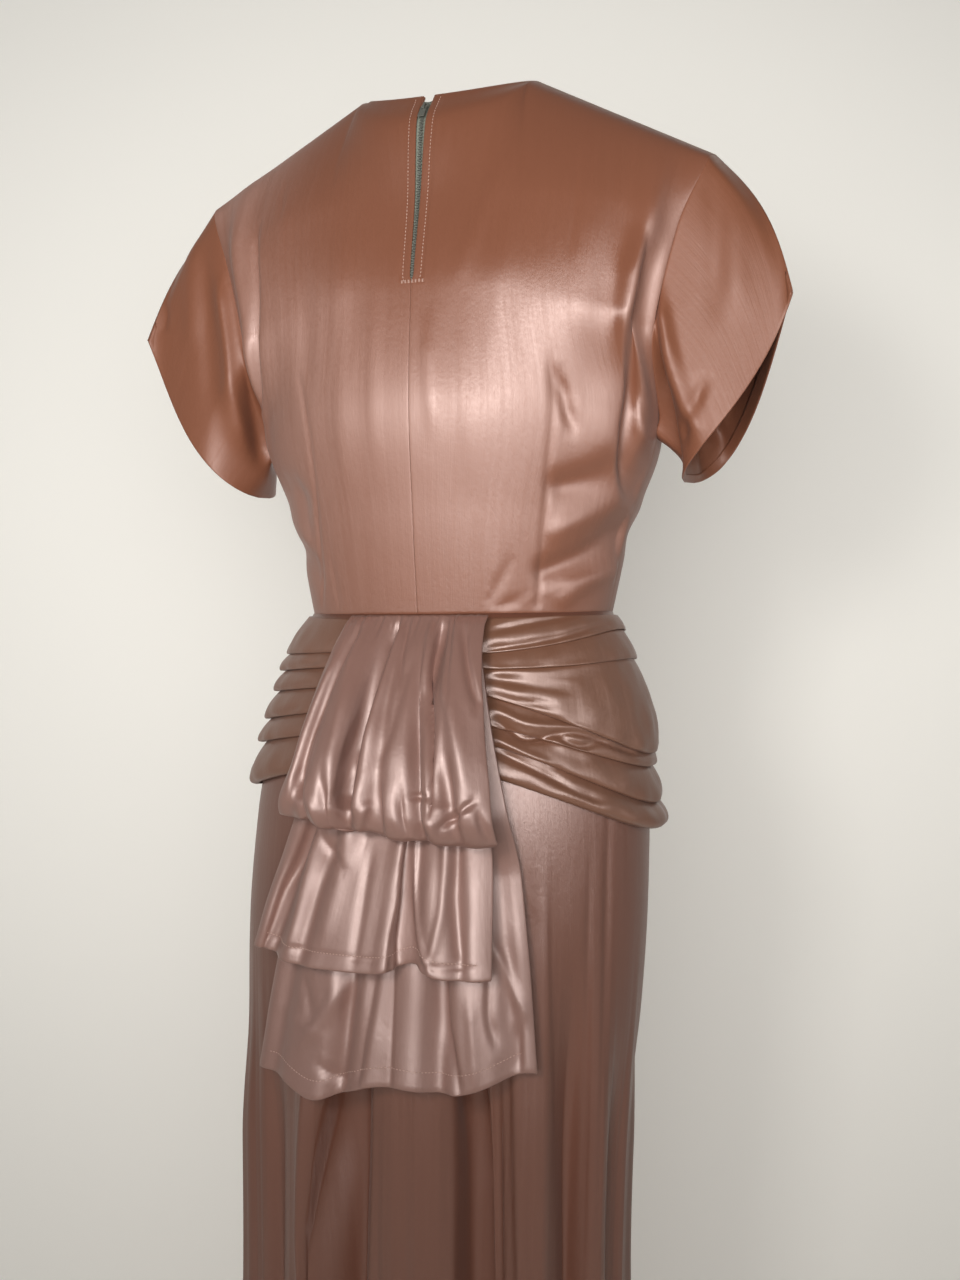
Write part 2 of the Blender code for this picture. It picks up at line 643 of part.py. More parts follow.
def block(name, low, high, finish, place):
    """A box between two corners, in the frame of place."""
    size = [b - a for a, b in zip(low, high)]
    centre = [(a + b) / 2 for a, b in zip(low, high)]
    shape = bmesh.new()
    bmesh.ops.create_cube(shape, size=1.0)
    bmesh.ops.scale(shape, vec=size, verts=shape.verts)
    bmesh.ops.translate(shape, vec=centre, verts=shape.verts)
    mesh = bpy.data.meshes.new(name)
    shape.to_mesh(mesh)
    shape.free()
    mesh.materials.append(finish)
    obj = bpy.data.objects.new(name, mesh)
    obj.matrix_world = place
    bpy.context.scene.collection.objects.link(obj)
    return obj


def combine(obj, other, operation):
    """Joins other to obj or cuts it away. other stays as a hidden guide."""
    other.hide_render = True
    other.display_type = "WIRE"
    step = obj.modifiers.new(other.name, "BOOLEAN")
    step.operation = operation
    step.object = other


def build_slider():
    """The slider's face plate with the bridge that carries the pull."""
    place = zip_place()
    foot = SLIDER_FACE - SLIDER_THICKNESS
    plate = block(
        "zip_slider",
        (-SLIDER_HALF_WIDTH, -SLIDER_HALF_LENGTH, foot),
        (SLIDER_HALF_WIDTH, SLIDER_HALF_LENGTH, SLIDER_FACE),
        zip_metal(),
        place,
    )
    bridge = block(
        "bridge",
        (-BRIDGE_HALF_WIDTH, -BRIDGE_HALF_SPAN, foot / 2),
        (BRIDGE_HALF_WIDTH, BRIDGE_HALF_SPAN, BRIDGE_RISE),
        zip_metal(),
        place,
    )
    gap = BRIDGE_HALF_SPAN - BRIDGE_POST
    eye = block(
        "bridge_eye",
        (-2 * BRIDGE_HALF_WIDTH, -gap, SLIDER_FACE),
        (2 * BRIDGE_HALF_WIDTH, gap, BRIDGE_UNDERSIDE),
        zip_metal(),
        place,
    )
    combine(plate, bridge, "UNION")
    combine(plate, eye, "DIFFERENCE")


def build_pull():
    """The pull tab: a plate whose upper bar runs through the bridge. Its origin is on the bar's axis."""
    place = zip_place() @ Matrix.Translation((0, 0, PULL_AXIS))
    pull = block(
        "zip_pull",
        (-PULL_HALF_WIDTH, -PULL_LENGTH, -PULL_HALF_THICKNESS),
        (PULL_HALF_WIDTH, PULL_HALF_THICKNESS, PULL_HALF_THICKNESS),
        zip_metal(),
        place,
    )
    inner = PULL_HALF_WIDTH - PULL_ARM_WIDTH
    window = block(
        "pull_window",
        (-inner, -PULL_NECK, -2 * PULL_HALF_THICKNESS),
        (inner, -PULL_HALF_THICKNESS, 2 * PULL_HALF_THICKNESS),
        zip_metal(),
        place,
    )
    combine(pull, window, "DIFFERENCE")


clear_scene()
build_bodice()
build_sleeves()
build_skirt()
build_drapes()
build_tiers()
build_zip_tape()
build_slider()
build_pull()
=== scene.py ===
"""Bustle evening gown in satin, seen from behind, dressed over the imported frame.

Metres, +Z up, the front faces -Y and +X is the wearer's left. Each piece of cloth is a grid of points
worked out from two parameters, given its creases, turned under at its edges and closed to a thin shell.
"""

import math
from collections import namedtuple

import bpy
import numpy as np
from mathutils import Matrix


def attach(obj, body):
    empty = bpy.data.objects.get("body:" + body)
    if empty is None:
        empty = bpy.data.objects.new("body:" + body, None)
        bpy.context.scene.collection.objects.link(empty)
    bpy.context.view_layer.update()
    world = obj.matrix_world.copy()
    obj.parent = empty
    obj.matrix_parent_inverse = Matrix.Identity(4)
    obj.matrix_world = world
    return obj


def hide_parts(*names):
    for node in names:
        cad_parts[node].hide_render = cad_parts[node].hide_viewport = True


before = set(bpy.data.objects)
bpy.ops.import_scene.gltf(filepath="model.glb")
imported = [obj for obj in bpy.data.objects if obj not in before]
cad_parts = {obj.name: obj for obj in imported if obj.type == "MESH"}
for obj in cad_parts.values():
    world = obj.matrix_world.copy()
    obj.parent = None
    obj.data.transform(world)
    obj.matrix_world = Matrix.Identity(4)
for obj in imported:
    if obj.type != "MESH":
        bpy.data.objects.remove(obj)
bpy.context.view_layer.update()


# The back bodice: two panels of heavy satin that meet at the centre back, open at the top for the
# zip and seamed below it. Each has a waist dart and a shoulder dart, and its edges are turned under
# by hand and pressed; soft pulls run down from the shoulders.

WAIST, WAIST_DIP = -0.405, 0.003
NECK_HALF_WIDTH, NECK_SHARE, NECK_SIDE = 0.068, 0.34, (0.010, -0.006)
SHOULDER = (0.201, 0.002, -0.073)
ROLL_SHARE = 0.93
ROLL_OUT, ROLL_OUT_NECK = 0.026, 0.016
ROLL_DROP, ROLL_DROP_NECK = 0.009, 0.025
NECK_BACK = (0.064, -0.025, 1.3)
BACK_FOLD, BACK_FOLD_WAY, BACK_FOLD_ACROSS = 0.007, (0.5, 0.8), (0.84, 0.07)
BACK_FOLD_FOOT, BACK_FOLD_HEAD = (0.35, 0.55), (0.98, 0.80)
SLIT_HALF_GAP, SLIT_TOP, SLIT_END = 0.0042, -0.024, -0.168
SLIT_FOOT, SLIT_FOOT_SHARE, SLIT_TAPER = (SLIT_END - 0.001, SLIT_END + 0.004), 0.30, 1.6
SLIT_PULL, SLIT_BLEND = 0.30, 0.010
PRESSED_LINE, PRESSED_DEPTH = (0.0062, 0.0011), 0.0007
PRESSED_FOOT, PRESSED_TOP = (SLIT_END - 0.002, SLIT_END + 0.002), (1.0, 0.985)
SATIN_THICKNESS, TEXTURE_HEIGHT = 0.0006, -0.7
EDGE_ROLL, SEAM_ROLL, UNDER_DEPTH, SEAM_AIR, ROLL_STEPS = 0.0007, 0.00035, 0.0014, 0.00005, 5
HELD_FOOT, HELD_TOP, HELD_SIDE, HELD_SEAM = 0.02, 0.97, 0.94, 0.012

Level = namedtuple("Level", "share centre_y centre_z side_x side_y side_z turn")
BACK_LEVELS = (
    Level(0.00, 0.086, WAIST - WAIST_DIP, 0.119, 0.000, WAIST, 90),
    Level(0.25, 0.095, -0.335, 0.133, 0.000, -0.345, 90),
    Level(0.50, 0.102, -0.250, 0.157, 0.000, -0.272, 90),
    Level(0.66, 0.098, -0.175, 0.165, 0.044, -0.205, 76),
    Level(0.82, 0.086, -0.105, 0.182, 0.042, -0.132, 68),
)


def column(rows, name):
    """One named column of a table as an array."""
    return np.array([getattr(row, name) for row in rows], float)


def through(knots, values, at):
    """A curve through values at knots that never overshoots: cubic pieces, each slope the harmonic mean beside it."""
    order = np.argsort(knots)
    knots, values = np.asarray(knots, float)[order], np.asarray(values, float)[order]
    gaps = np.diff(knots).reshape((-1,) + (1,) * (values.ndim - 1))
    steps = np.diff(values, axis=0) / gaps
    same_way = steps[:-1] * steps[1:] > 0
    total = np.where(same_way, steps[:-1] + steps[1:], 1)
    inner = np.where(same_way, 2 * steps[:-1] * steps[1:] / total, 0)
    slopes = np.concatenate([steps[:1], inner, steps[-1:]])
    at = np.clip(np.asarray(at, float), knots[0], knots[-1])
    place = np.clip(np.searchsorted(knots, at) - 1, 0, len(knots) - 2)
    span = knots[place + 1] - knots[place]
    s = (at - knots[place]) / span
    if values.ndim > 1:
        grow = (slice(None),) * s.ndim + (None,) * (values.ndim - 1)
        s, span = s[grow], span[grow]
    return (
        values[place] * (1 + 2 * s) * (1 - s) ** 2
        + slopes[place] * span * s * (1 - s) ** 2
        + values[place + 1] * s**2 * (3 - 2 * s)
        + slopes[place + 1] * span * s**2 * (s - 1)
    )


def ramp(value, start, end):
    """0 before start, 1 after end, smooth between."""
    s = np.clip((np.asarray(value, float) - start) / (end - start), 0, 1)
    return s * s * (3 - 2 * s)


def hump(value, centre, spread):
    """A bell of height 1 round centre: e to the minus square of the distance in spreads."""
    return np.exp(-(((value - centre) / spread) ** 2))


def neck_and_shoulder(share, neck_y, neck_z, power):
    """The top edge of a bodice half: a quarter of an ellipse for the neck, then the straight shoulder seam."""
    turn = np.clip(share / NECK_SHARE, 0, 1) * math.pi / 2
    side_y, side_z = NECK_SIDE
    neck = np.stack(
        [
            NECK_HALF_WIDTH * np.sin(turn),
            side_y + (neck_y - side_y) * np.cos(turn),
            side_z + (neck_z - side_z) * np.cos(turn) ** power,
        ],
        axis=-1,
    )
    along = np.clip((share - NECK_SHARE) / (1 - NECK_SHARE), 0, 1)[..., None]
    return neck + (np.array(SHOULDER) - np.array([NECK_HALF_WIDTH, *NECK_SIDE])) * along


def shoulder_roll(share, neck_y, neck_z, power):
    """The row just below the top edge, where the cloth rolls over the shoulder: the edge moved out and down."""
    near_centre = np.cos(np.clip(share / NECK_SHARE, 0, 1) * math.pi / 2)
    out = ROLL_OUT + (ROLL_OUT_NECK - ROLL_OUT) * near_centre
    drop = ROLL_DROP + (ROLL_DROP_NECK - ROLL_DROP) * near_centre
    shift = np.stack([0 * out, math.copysign(1, neck_y) * out, -drop], axis=-1)
    return neck_and_shoulder(share, neck_y, neck_z, power) + shift


def bodice_half(levels, neck, share, up):
    """Points of a bodice half: parts of ellipses at the levels, joined up the panel by curves through them.
    share runs 0 to 1 from the centre to the side, up 0 to 1 from the waist to the shoulder."""
    rows = []
    for level in levels:
        end = math.radians(level.turn)
        round_off = (np.cos(end * share) - math.cos(end)) / (1 - math.cos(end))
        rows.append(
            np.stack(
                [
                    level.side_x * np.sin(end * share) / math.sin(end),
                    level.side_y + (level.centre_y - level.side_y) * round_off,
                    level.centre_z + (level.side_z - level.centre_z) * share**2,
                ],
                axis=-1,
            )
        )
    rows += [shoulder_roll(share, *neck), neck_and_shoulder(share, *neck)]
    return through([*column(levels, "share"), ROLL_SHARE, 1.0], np.array(rows), up)


def slit_half_gap(height):
    """Half the slit's width at a height: a taper down to its foot, where it closes within a few millimetres."""
    open_share = np.clip((height - SLIT_END) / (SLIT_TOP - SLIT_END), 0, 1)
    taper = SLIT_FOOT_SHARE + (1 - SLIT_FOOT_SHARE) * open_share**SLIT_TAPER
    return SLIT_HALF_GAP * taper * ramp(height, *SLIT_FOOT)


def back_panel(side, share, up):
    """Half of the back bodice, with the soft fold that stands beside the armhole and the slit's opening."""
    points = np.moveaxis(bodice_half(BACK_LEVELS, NECK_BACK, share, up), 0, 1)
    across, rise = np.meshgrid(share, up, indexing="ij")
    fold = BACK_FOLD * hump(across, *BACK_FOLD_ACROSS) * ramp(rise, *BACK_FOLD_FOOT) * ramp(rise, *BACK_FOLD_HEAD)
    points[..., :2] += fold[..., None] * BACK_FOLD_WAY
    points[..., 0] += slit_half_gap(points[..., 2]) * (1 - ramp(across, 0.0, SLIT_PULL))
    points[..., 0] *= side
    return points


def outward(points, centre, closed=False):
    """Unit normals of a grid, away from a centre line: the cross product of its two ways along."""
    if closed:
        along = np.roll(points, -1, axis=0) - np.roll(points, 1, axis=0)
    else:
        along = np.gradient(points, axis=0)
    normal = np.cross(along, np.gradient(points, axis=1))
    normal /= np.maximum(np.linalg.norm(normal, axis=-1, keepdims=True), 1e-12)
    facing = (normal[..., :2] * (points[..., :2] - np.array(centre))).sum()
    return normal if facing > 0 else -normal


# A crease follows a line of marks. Its section is a bell with its own width on each side of the line.
Crease = namedtuple("Crease", "line height near far fade")
SLOPE_STEP = 0.0002


def crease_table(*rows):
    """Creases from rows in millimetres: the line, along and across in turn, then height, near, far and fade."""
    return [Crease(np.reshape(line, (-1, 2)).T / 1000, *np.array(sizes) / 1000) for line, *sizes in rows]


def creased(along, across, creases):
    """The sum of some creases over a grid: height times a bell of the distance square to the line,
    faded at both ends."""
    total = np.zeros(np.shape(along))
    for crease in creases:
        marks, places = crease.line
        low, high = marks.min(), marks.max()
        middle = through(marks, places, along)
        slope = (through(marks, places, along + SLOPE_STEP) - middle) / SLOPE_STEP
        away = (across - middle) / np.hypot(1, slope)
        width = np.where(away < 0, crease.near, crease.far)
        ends = ramp(along, low - crease.fade, low + crease.fade) * ramp(along, high + crease.fade, high - crease.fade)
        total += crease.height * ends * np.exp(-((away / width) ** 2))
    return total


def turned_under(points, inward, axis, last, roll, rows):
    """A grid with one edge turned under: half a turn of a small radius, then its last rows again, a diameter deeper."""
    points, inward = np.moveaxis(points, axis, 0), np.moveaxis(inward, axis, 0)
    if not last:
        points, inward = points[::-1], inward[::-1]
    way = points[-1] - points[-2]
    way -= (way * inward[-1]).sum(axis=-1, keepdims=True) * inward[-1]
    way /= np.linalg.norm(way, axis=-1, keepdims=True)
    turn = np.linspace(0, math.pi, ROLL_STEPS + 1)[1:, None, None]
    roll = np.broadcast_to(roll, points.shape[1:2])[:, None]
    deep = np.maximum(2 * roll, UNDER_DEPTH)
    curl = points[-1] + roll * (way * np.sin(turn) + inward[-1] * (1 - np.cos(turn)))
    under = slice(-2, -2 - rows, -1)
    points = np.concatenate([points, curl, points[under] + deep * inward[under]])
    inward = np.concatenate([inward, np.repeat(inward[-1:], ROLL_STEPS, axis=0), inward[under]])
    if not last:
        points, inward = points[::-1], inward[::-1]
    return np.moveaxis(points, 0, axis), np.moveaxis(inward, 0, axis)


def linked(name, points, faces, finish):
    """A mesh object of one material, linked into the scene."""
    mesh = bpy.data.meshes.new(name)
    mesh.from_pydata(points, [], faces)
    mesh.materials.append(finish)
    piece = bpy.data.objects.new(name, mesh)
    bpy.context.scene.collection.objects.link(piece)
    return piece


def shell(name, points, centre, thickness, finish, closed=False):
    """A closed sheet of cloth: the grid, the same grid moved inwards by the thickness, and a rim between them.
    Its UV map is in metres along the cloth, and its texture space is round the centre line, so that the
    satin's gloss spreads level round the body on every panel."""
    rows, columns = points.shape[:2]
    normal = outward(points, centre, closed)
    number = np.arange(rows * columns).reshape(rows, columns)
    after = np.roll(number, -1, axis=0) if closed else number[1:]
    first = number if closed else number[:-1]
    faces = np.stack([first[:, :-1], after[:, :-1], after[:, 1:], first[:, 1:]], axis=-1).reshape(-1, 4)
    flat = points.reshape(-1, 3)
    corners = flat[faces]
    facing = np.cross(corners[:, 2] - corners[:, 0], corners[:, 3] - corners[:, 1])
    if (facing * normal.reshape(-1, 3)[faces[:, 0]]).sum() < 0:
        faces = faces[:, ::-1]
    pairs = np.concatenate([faces[:, [k, (k + 1) % 4]] for k in range(4)])
    size = rows * columns
    keys = pairs[:, 0].astype(np.int64) * size + pairs[:, 1]
    edge = pairs[~np.isin(keys, pairs[:, 1].astype(np.int64) * size + pairs[:, 0])]
    rim = np.stack([edge[:, 1], edge[:, 0], edge[:, 0] + size, edge[:, 1] + size], axis=-1)
    every = np.concatenate([faces, faces[:, ::-1] + size, rim])
    both = np.concatenate([flat, flat - normal.reshape(-1, 3) * thickness])
    piece = linked(name, both.tolist(), every.tolist(), finish)
    mesh = piece.data
    u = np.append(0, np.cumsum(np.linalg.norm(np.diff(points[:, columns // 2], axis=0), axis=-1)))
    v = np.append(0, np.cumsum(np.linalg.norm(np.diff(points[rows // 2], axis=0), axis=-1)))
    place = np.stack(np.meshgrid(u, v, indexing="ij"), axis=-1).reshape(-1, 2)
    mesh.uv_layers.new(name="cloth").data.foreach_set("uv", np.tile(place, (2, 1))[every.ravel()].ravel())
    mesh.use_auto_texspace = False
    mesh.texspace_location, mesh.texspace_size = (*centre, TEXTURE_HEIGHT), (1.0, 1.0, 1.0)
    mesh.shade_smooth()
    return piece


class Socket:
    """A shader socket that can be written in sums: each operator adds its Math node."""

    def __init__(self, finish, link):
        self.finish, self.link = finish, link

    def math(self, operation, first, second):
        return self.finish.node("ShaderNodeMath", {"operation": operation}, {0: first, 1: second})

    def __add__(self, other):
        return self.math("ADD", self, other)

    def __rsub__(self, other):
        return self.math("SUBTRACT", other, self)

    def __mul__(self, other):
        return self.math("MULTIPLY", self, other)

    __radd__, __rmul__ = __add__, __mul__


class Finish:
    """A material whose nodes are written out in Python."""

    def __init__(self, name, **constants):
        self.material = bpy.data.materials.new(name)
        self.material.use_nodes = True
        self.tree = self.material.node_tree
        self.shader = self.tree.nodes["Principled BSDF"]
        for socket, value in constants.items():
            self.shader.inputs[socket.replace("_", " ")].default_value = value

    def node(self, kind, settings, values, out=0):
        """Adds a node: its settings first, then the value or the link of each socket."""
        made = self.tree.nodes.new(kind)
        for name, value in settings.items():
            setattr(made, name, value)
        for name, value in values.items():
            self.put(made.inputs[name], value)
        return Socket(self, made.outputs[out])

    def put(self, socket, value):
        if isinstance(value, Socket):
            self.tree.links.new(value.link, socket)
        else:
            socket.default_value = value

    def place(self, kind="Object", scale=(1, 1, 1)):
        """Object or UV coordinates, stretched by scale."""
        source = self.node("ShaderNodeTexCoord", {}, {}, kind)
        return self.node("ShaderNodeMapping", {}, {"Vector": source, "Scale": scale})

    def noise(self, place, scale, detail=2.0, distortion=0.0):
        values = {"Vector": place, "Scale": scale, "Detail": detail, "Distortion": distortion}
        return self.node("ShaderNodeTexNoise", {}, values)

    def between(self, factor, low, high):
        """A colour between two, by a factor."""
        values = {"Factor": factor, "A": (*low, 1.0), "B": (*high, 1.0)}
        made = self.tree.nodes.new("ShaderNodeMix")
        made.data_type = "RGBA"
        for socket in made.inputs:
            if socket.enabled and socket.name in values:
                self.put(socket, values[socket.name])
        return Socket(self, next(socket for socket in made.outputs if socket.enabled))

    def bump(self, height, distance, strength=1.0, under=None):
        values = {"Height": height, "Distance": distance, "Strength": strength}
        if under:
            values["Normal"] = under
        return self.node("ShaderNodeBump", {}, values)

    def feed(self, **sockets):
        """Links what varies over the surface to the shader, and gives the material back."""
        for name, value in sockets.items():
            self.put(self.shader.inputs[name.replace("_", " ")], value)
        return self.material


GLOSS_TINT, SHEEN_TINT = (1.0, 0.83, 0.79, 1.0), (1.0, 0.80, 0.74, 1.0)
THREAD_DEPTH, WEAVE_DEPTH = 0.00026, 0.00009


def satin(name, deep, pale, crumple, gloss, level, matt):
    """Satin: a warm brown ground with the pale bloom of its long floats. Fine slubs run along the warp and
    soft crumples, crumple deep, lie over it. deep and pale are the ends of its slow colour change; on the skirt
    they are set darker as painted shade, and on the tiers paler and pinker as painted light. gloss is the strength
    of its bloom, level how far the floats spread it and matt its least roughness."""
    sheen = {"Sheen_Weight": 0.06, "Sheen_Roughness": 0.45, "Sheen_Tint": SHEEN_TINT}
    finish = Finish(name, Metallic=0.0, IOR=gloss, Anisotropic=level, Specular_Tint=GLOSS_TINT, **sheen)
    cloud = finish.noise(finish.place(scale=(1.0, 1.0, 0.6)), 7.0, 3.0)
    streak = finish.noise(finish.place("UV", (260.0, 7.0, 1.0)), 1.0, 3.0)
    slub = finish.noise(finish.place("UV", (1500.0, 90.0, 1.0)), 1.0, 2.0)
    ripple = finish.noise(finish.place(scale=(1.0, 1.0, 0.45)), 34.0, 3.0, 0.6)
    grain = finish.noise(finish.place(), 380.0, 2.0)
    colour = finish.between(cloud * 0.45 + streak * 0.2 + grain * 0.35, deep, pale)
    waves = finish.bump(ripple, crumple)
    threads = finish.bump(streak * 0.7 + slub * 0.3, THREAD_DEPTH, 0.8, waves)
    weave = finish.bump(grain, WEAVE_DEPTH, 0.7, threads)
    rough = streak * 0.14 + grain * 0.12 + cloud * 0.06 + matt
    return finish.feed(Base_Color=colour, Roughness=rough, Normal=weave)


def freedom(share, up):
    """How free a bodice panel is to crease: 1 inside it, 0 along its waist, shoulder and side seams."""
    along = ramp(up, 0.0, HELD_FOOT) * ramp(up, 1.0, HELD_TOP)
    return along[None, :, None] * ramp(np.abs(share), 1.0, HELD_SIDE)[:, None, None]


def satin_piece(name, node, points, centre, turns, finish, closed=False):
    """Turns a grid's edges under, closes it to a shell and lets it take a node's place. Each turn gives the
    grid's axis, whether it is that axis's last edge, the radius of the roll and the rows that lie under."""
    inward = -outward(points, centre, closed)
    for axis, last, roll, rows in turns:
        points, inward = turned_under(points, inward, axis, last, roll, rows)
    piece = shell(name, points, centre, SATIN_THICKNESS, finish, closed)
    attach(piece, "dress")
    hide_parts(node)
    return piece


bodice_satin = satin("bodice_satin", (0.192, 0.070, 0.037), (0.250, 0.098, 0.057), 0.0003, 2.06, 0.90, 0.26)

BACK_CREASES_LEFT = crease_table(
    ((-230, 99, -277, 90, -322, 88, -366, 88, -400, 91), -1.1, 2.2, 2.2, 12),
    ((-120, 139, -167, 134, -226, 140, -250, 151), 3.5, 12, 3, 20),
    ((-120, 144, -167, 140, -226, 146, -250, 156), -4, 3, 6, 20),
    ((-80, 124, -104, 120), -0.8, 2, 2, 6),
    ((-100, 119, -190, 117), 1.2, 10, 10, 30),
    ((-180, 30, -290, 28), 0.9, 7, 7, 40),
    ((-150, 60, -300, 56), 1.2, 10, 10, 50),
    ((-160, 90, -240, 90), -1.2, 9, 9, 30),
    ((-300, 115, -345, 100), -1.6, 6, 7, 12),
    ((-350, 112, -372, 92), -1.3, 5, 5, 8),
)
BACK_CREASES_RIGHT = crease_table(
    ((-228, -100, -257, -101, -306, -96, -370, -88, -404, -84), -1.3, 2.2, 2.2, 10),
    ((-240, -105, -276, -112), -3, 4.5, 4.5, 12),
    ((-150, -161, -194, -153, -228, -145, -255, -140, -283, -136, -315, -133), 5, 2.8, 14, 20),
    ((-150, -167, -194, -159, -228, -151, -255, -146, -283, -142, -315, -139), -5, 6, 3, 20),
    ((-84, -115, -108, -116, -150, -115), -0.8, 2.2, 2.2, 12),
    ((-110, -128, -220, -124), 1.4, 11, 11, 30),
    ((-120, -70, -230, -62), 1.1, 10, 10, 50),
    ((-204, 3, -269, 10), 1, 4.5, 4.5, 20),
    ((-205, -13, -270, -17), 1, 4.5, 4.5, 20),
    ((-60, -75, -170, -34), 0.9, 8, 8, 40),
    ((-180, -40, -290, -44), 0.8, 7, 7, 50),
    ((-254, -151, -284, -153), 2.2, 3, 4, 10),
)
BACK_FOLDS_RIGHT = crease_table(
    ((-97, -319, -118, -312, -136, -300), -4, 10, 9, 8),
    ((-86, -379, -112, -366, -136, -344), -4.5, 8, 8, 8),
    ((-96, -350, -136, -324), 3, 8, 8, 8),
    ((-98, -397, -132, -370), 2.5, 6, 6, 8),
    ((-53, -398, -69, -371), -0.5, 4, 4, 6),
    ((-60, -403, -98, -387), -0.6, 4, 4, 8),
    ((-73, -398, -120, -379), 0.7, 4, 4, 8),
)
BACK_FOLDS_LEFT = crease_table(
    ((69, -397, 77, -367), -0.5, 4, 4, 4),
    ((97, -322, 133, -305), -2.8, 10, 9, 8),
    ((90, -380, 130, -352), -2.8, 8, 8, 8),
    ((100, -352, 133, -330), 2, 8, 8, 8),
)

back_share = np.append(np.linspace(0, NECK_SHARE, 39)[:-1], np.linspace(NECK_SHARE, 1, 61))
back_up = np.linspace(0, 1, 165)
back_surface = {}
for side, name, down_creases, cross_folds in (
    (1, "left", BACK_CREASES_LEFT, BACK_FOLDS_LEFT),
    (-1, "right", BACK_CREASES_RIGHT, BACK_FOLDS_RIGHT),
):
    points = back_panel(side, back_share, back_up)
    edge_roll = SEAM_ROLL + (EDGE_ROLL - SEAM_ROLL) * ramp(points[0, :, 2], SLIT_END, SLIT_END + SLIT_BLEND)
    points[0, :, 0] += side * (edge_roll + SEAM_AIR)
    normal = outward(points, (0, 0))
    x, z = points[..., 0], points[..., 2]
    beside_slit = hump(np.abs(x) - slit_half_gap(z), *PRESSED_LINE) * ramp(z, *PRESSED_FOOT)
    points = points - normal * (PRESSED_DEPTH * beside_slit * ramp(back_up, *PRESSED_TOP))[..., None]
    free = ramp(np.abs(x), 0.0, HELD_SEAM)[..., None] * freedom(back_share, back_up)
    points = points + normal * free * (creased(z, x, down_creases) + creased(x, z, cross_folds))[..., None]
    back_surface[side] = points
    turns = [(0, False, edge_roll, 4), (0, True, EDGE_ROLL, 3), (1, True, EDGE_ROLL, 4), (1, False, EDGE_ROLL, 3)]
    piece = satin_piece("satin_back_" + name, "bodice_back_" + name, points, (0, 0), turns, bodice_satin)
    "skirt_back_" + name


# The front bodice: one panel of the same satin, cut whole from side to side, with bust darts from the
# waist. The photograph doesn't show it, so it is plain, with the same soft creases as the back.

NECK_FRONT = (-0.080, -0.080, 1.0)
BUST_REACH, BUST_ACROSS, BUST_RISE = 0.016, (0.42, 0.30), (0.50, 0.24)
FRONT_LEVELS = (
    Level(0.00, -0.092, WAIST - WAIST_DIP, 0.119, 0.000, WAIST, 90),
    Level(0.25, -0.112, -0.335, 0.133, 0.000, -0.345, 90),
    Level(0.50, -0.126, -0.255, 0.157, 0.000, -0.272, 90),
    Level(0.66, -0.120, -0.195, 0.165, -0.050, -0.205, 76),
    Level(0.82, -0.108, -0.140, 0.182, -0.044, -0.132, 68),
)


def front_panel(share, up):
    """The whole front bodice: two mirrored halves, moved forward by two bells at the bust."""
    points = np.moveaxis(bodice_half(FRONT_LEVELS, NECK_FRONT, np.abs(share), up), 0, 1)
    across, rise = np.meshgrid(np.abs(share), up, indexing="ij")
    points[..., 1] -= BUST_REACH * hump(across, *BUST_ACROSS) * hump(rise, *BUST_RISE)
    points[..., 0] *= np.sign(share)[:, None]
    return points


FRONT_CREASES = crease_table(
    ((-270, 78, -330, 72, -400, 66), -1.2, 2.4, 2.4, 12),
    ((-275, 118, -395, 98), -1, 2.4, 2.4, 12),
    ((-130, 150, -250, 138), 3, 12, 6, 20),
    ((-130, 158, -250, 147), -2.8, 4, 6, 20),
    ((-130, 40, -260, 52), 1.4, 10, 12, 40),
    ((-320, 30, -400, 40), 1.2, 7, 7, 20),
)
FRONT_FOLDS = crease_table(
    ((90, -318, 136, -296), -3, 10, 9, 8),
    ((80, -378, 130, -346), -3.2, 8, 8, 8),
    ((92, -350, 134, -322), 2.2, 8, 8, 8),
)
front_share = np.append(-back_share[:0:-2], back_share[::2])
front_up = np.linspace(0, 1, 120)
points = front_panel(front_share, front_up)
normal = outward(points, (0, 0))
x, z = points[..., 0], points[..., 2]
lift = creased(z, np.abs(x), FRONT_CREASES) + creased(np.abs(x), z, FRONT_FOLDS)
points = points + normal * freedom(front_share, front_up) * lift[..., None]
turns = [(axis, last, EDGE_ROLL, 3) for axis, last in ((0, False), (0, True), (1, True), (1, False))]
piece = satin_piece("satin_front", "bodice_front", points, (0, 0), turns, bodice_satin)


# The cap sleeves: each one piece of satin, set into the armhole and left loose below it. The hem is
# turned under, sharp on top of the arm and round below, and the cloth falls in deep soft folds.

UNDERARM_SHARE = 0.5
SLEEVE_TIP, SLEEVE_LOW = (0.262, 0.032, -0.182), (0.176, 0.002, -0.311)
SLEEVE_BACK_BULGE, SLEEVE_FRONT_BULGE, SLEEVE_BOW = 0.032, 0.058, 0.011
LENS_PEAK, SLEEVE_CROWN, CROWN_OUT, CROWN_UP = 3.5, 0.010, 0.8, 0.6
SLEEVE_SEAM, SLEEVE_HELD, SLEEVE_HEM, SLEEVE_HEM_HELD = 0.0008, 0.06, (0.9, 1.0), 0.35


def armhole(around):
    """The armhole's edge: 0 at the shoulder, down the back to 0.5 at the underarm, and up the front."""
    up = np.maximum(1 - around, around)
    end = np.ones(1)
    back = bodice_half(BACK_LEVELS, NECK_BACK, end, up)[:, 0]
    front = bodice_half(FRONT_LEVELS, NECK_FRONT, end, up)[:, 0]
    return np.where((around <= UNDERARM_SHARE)[:, None], back, front)


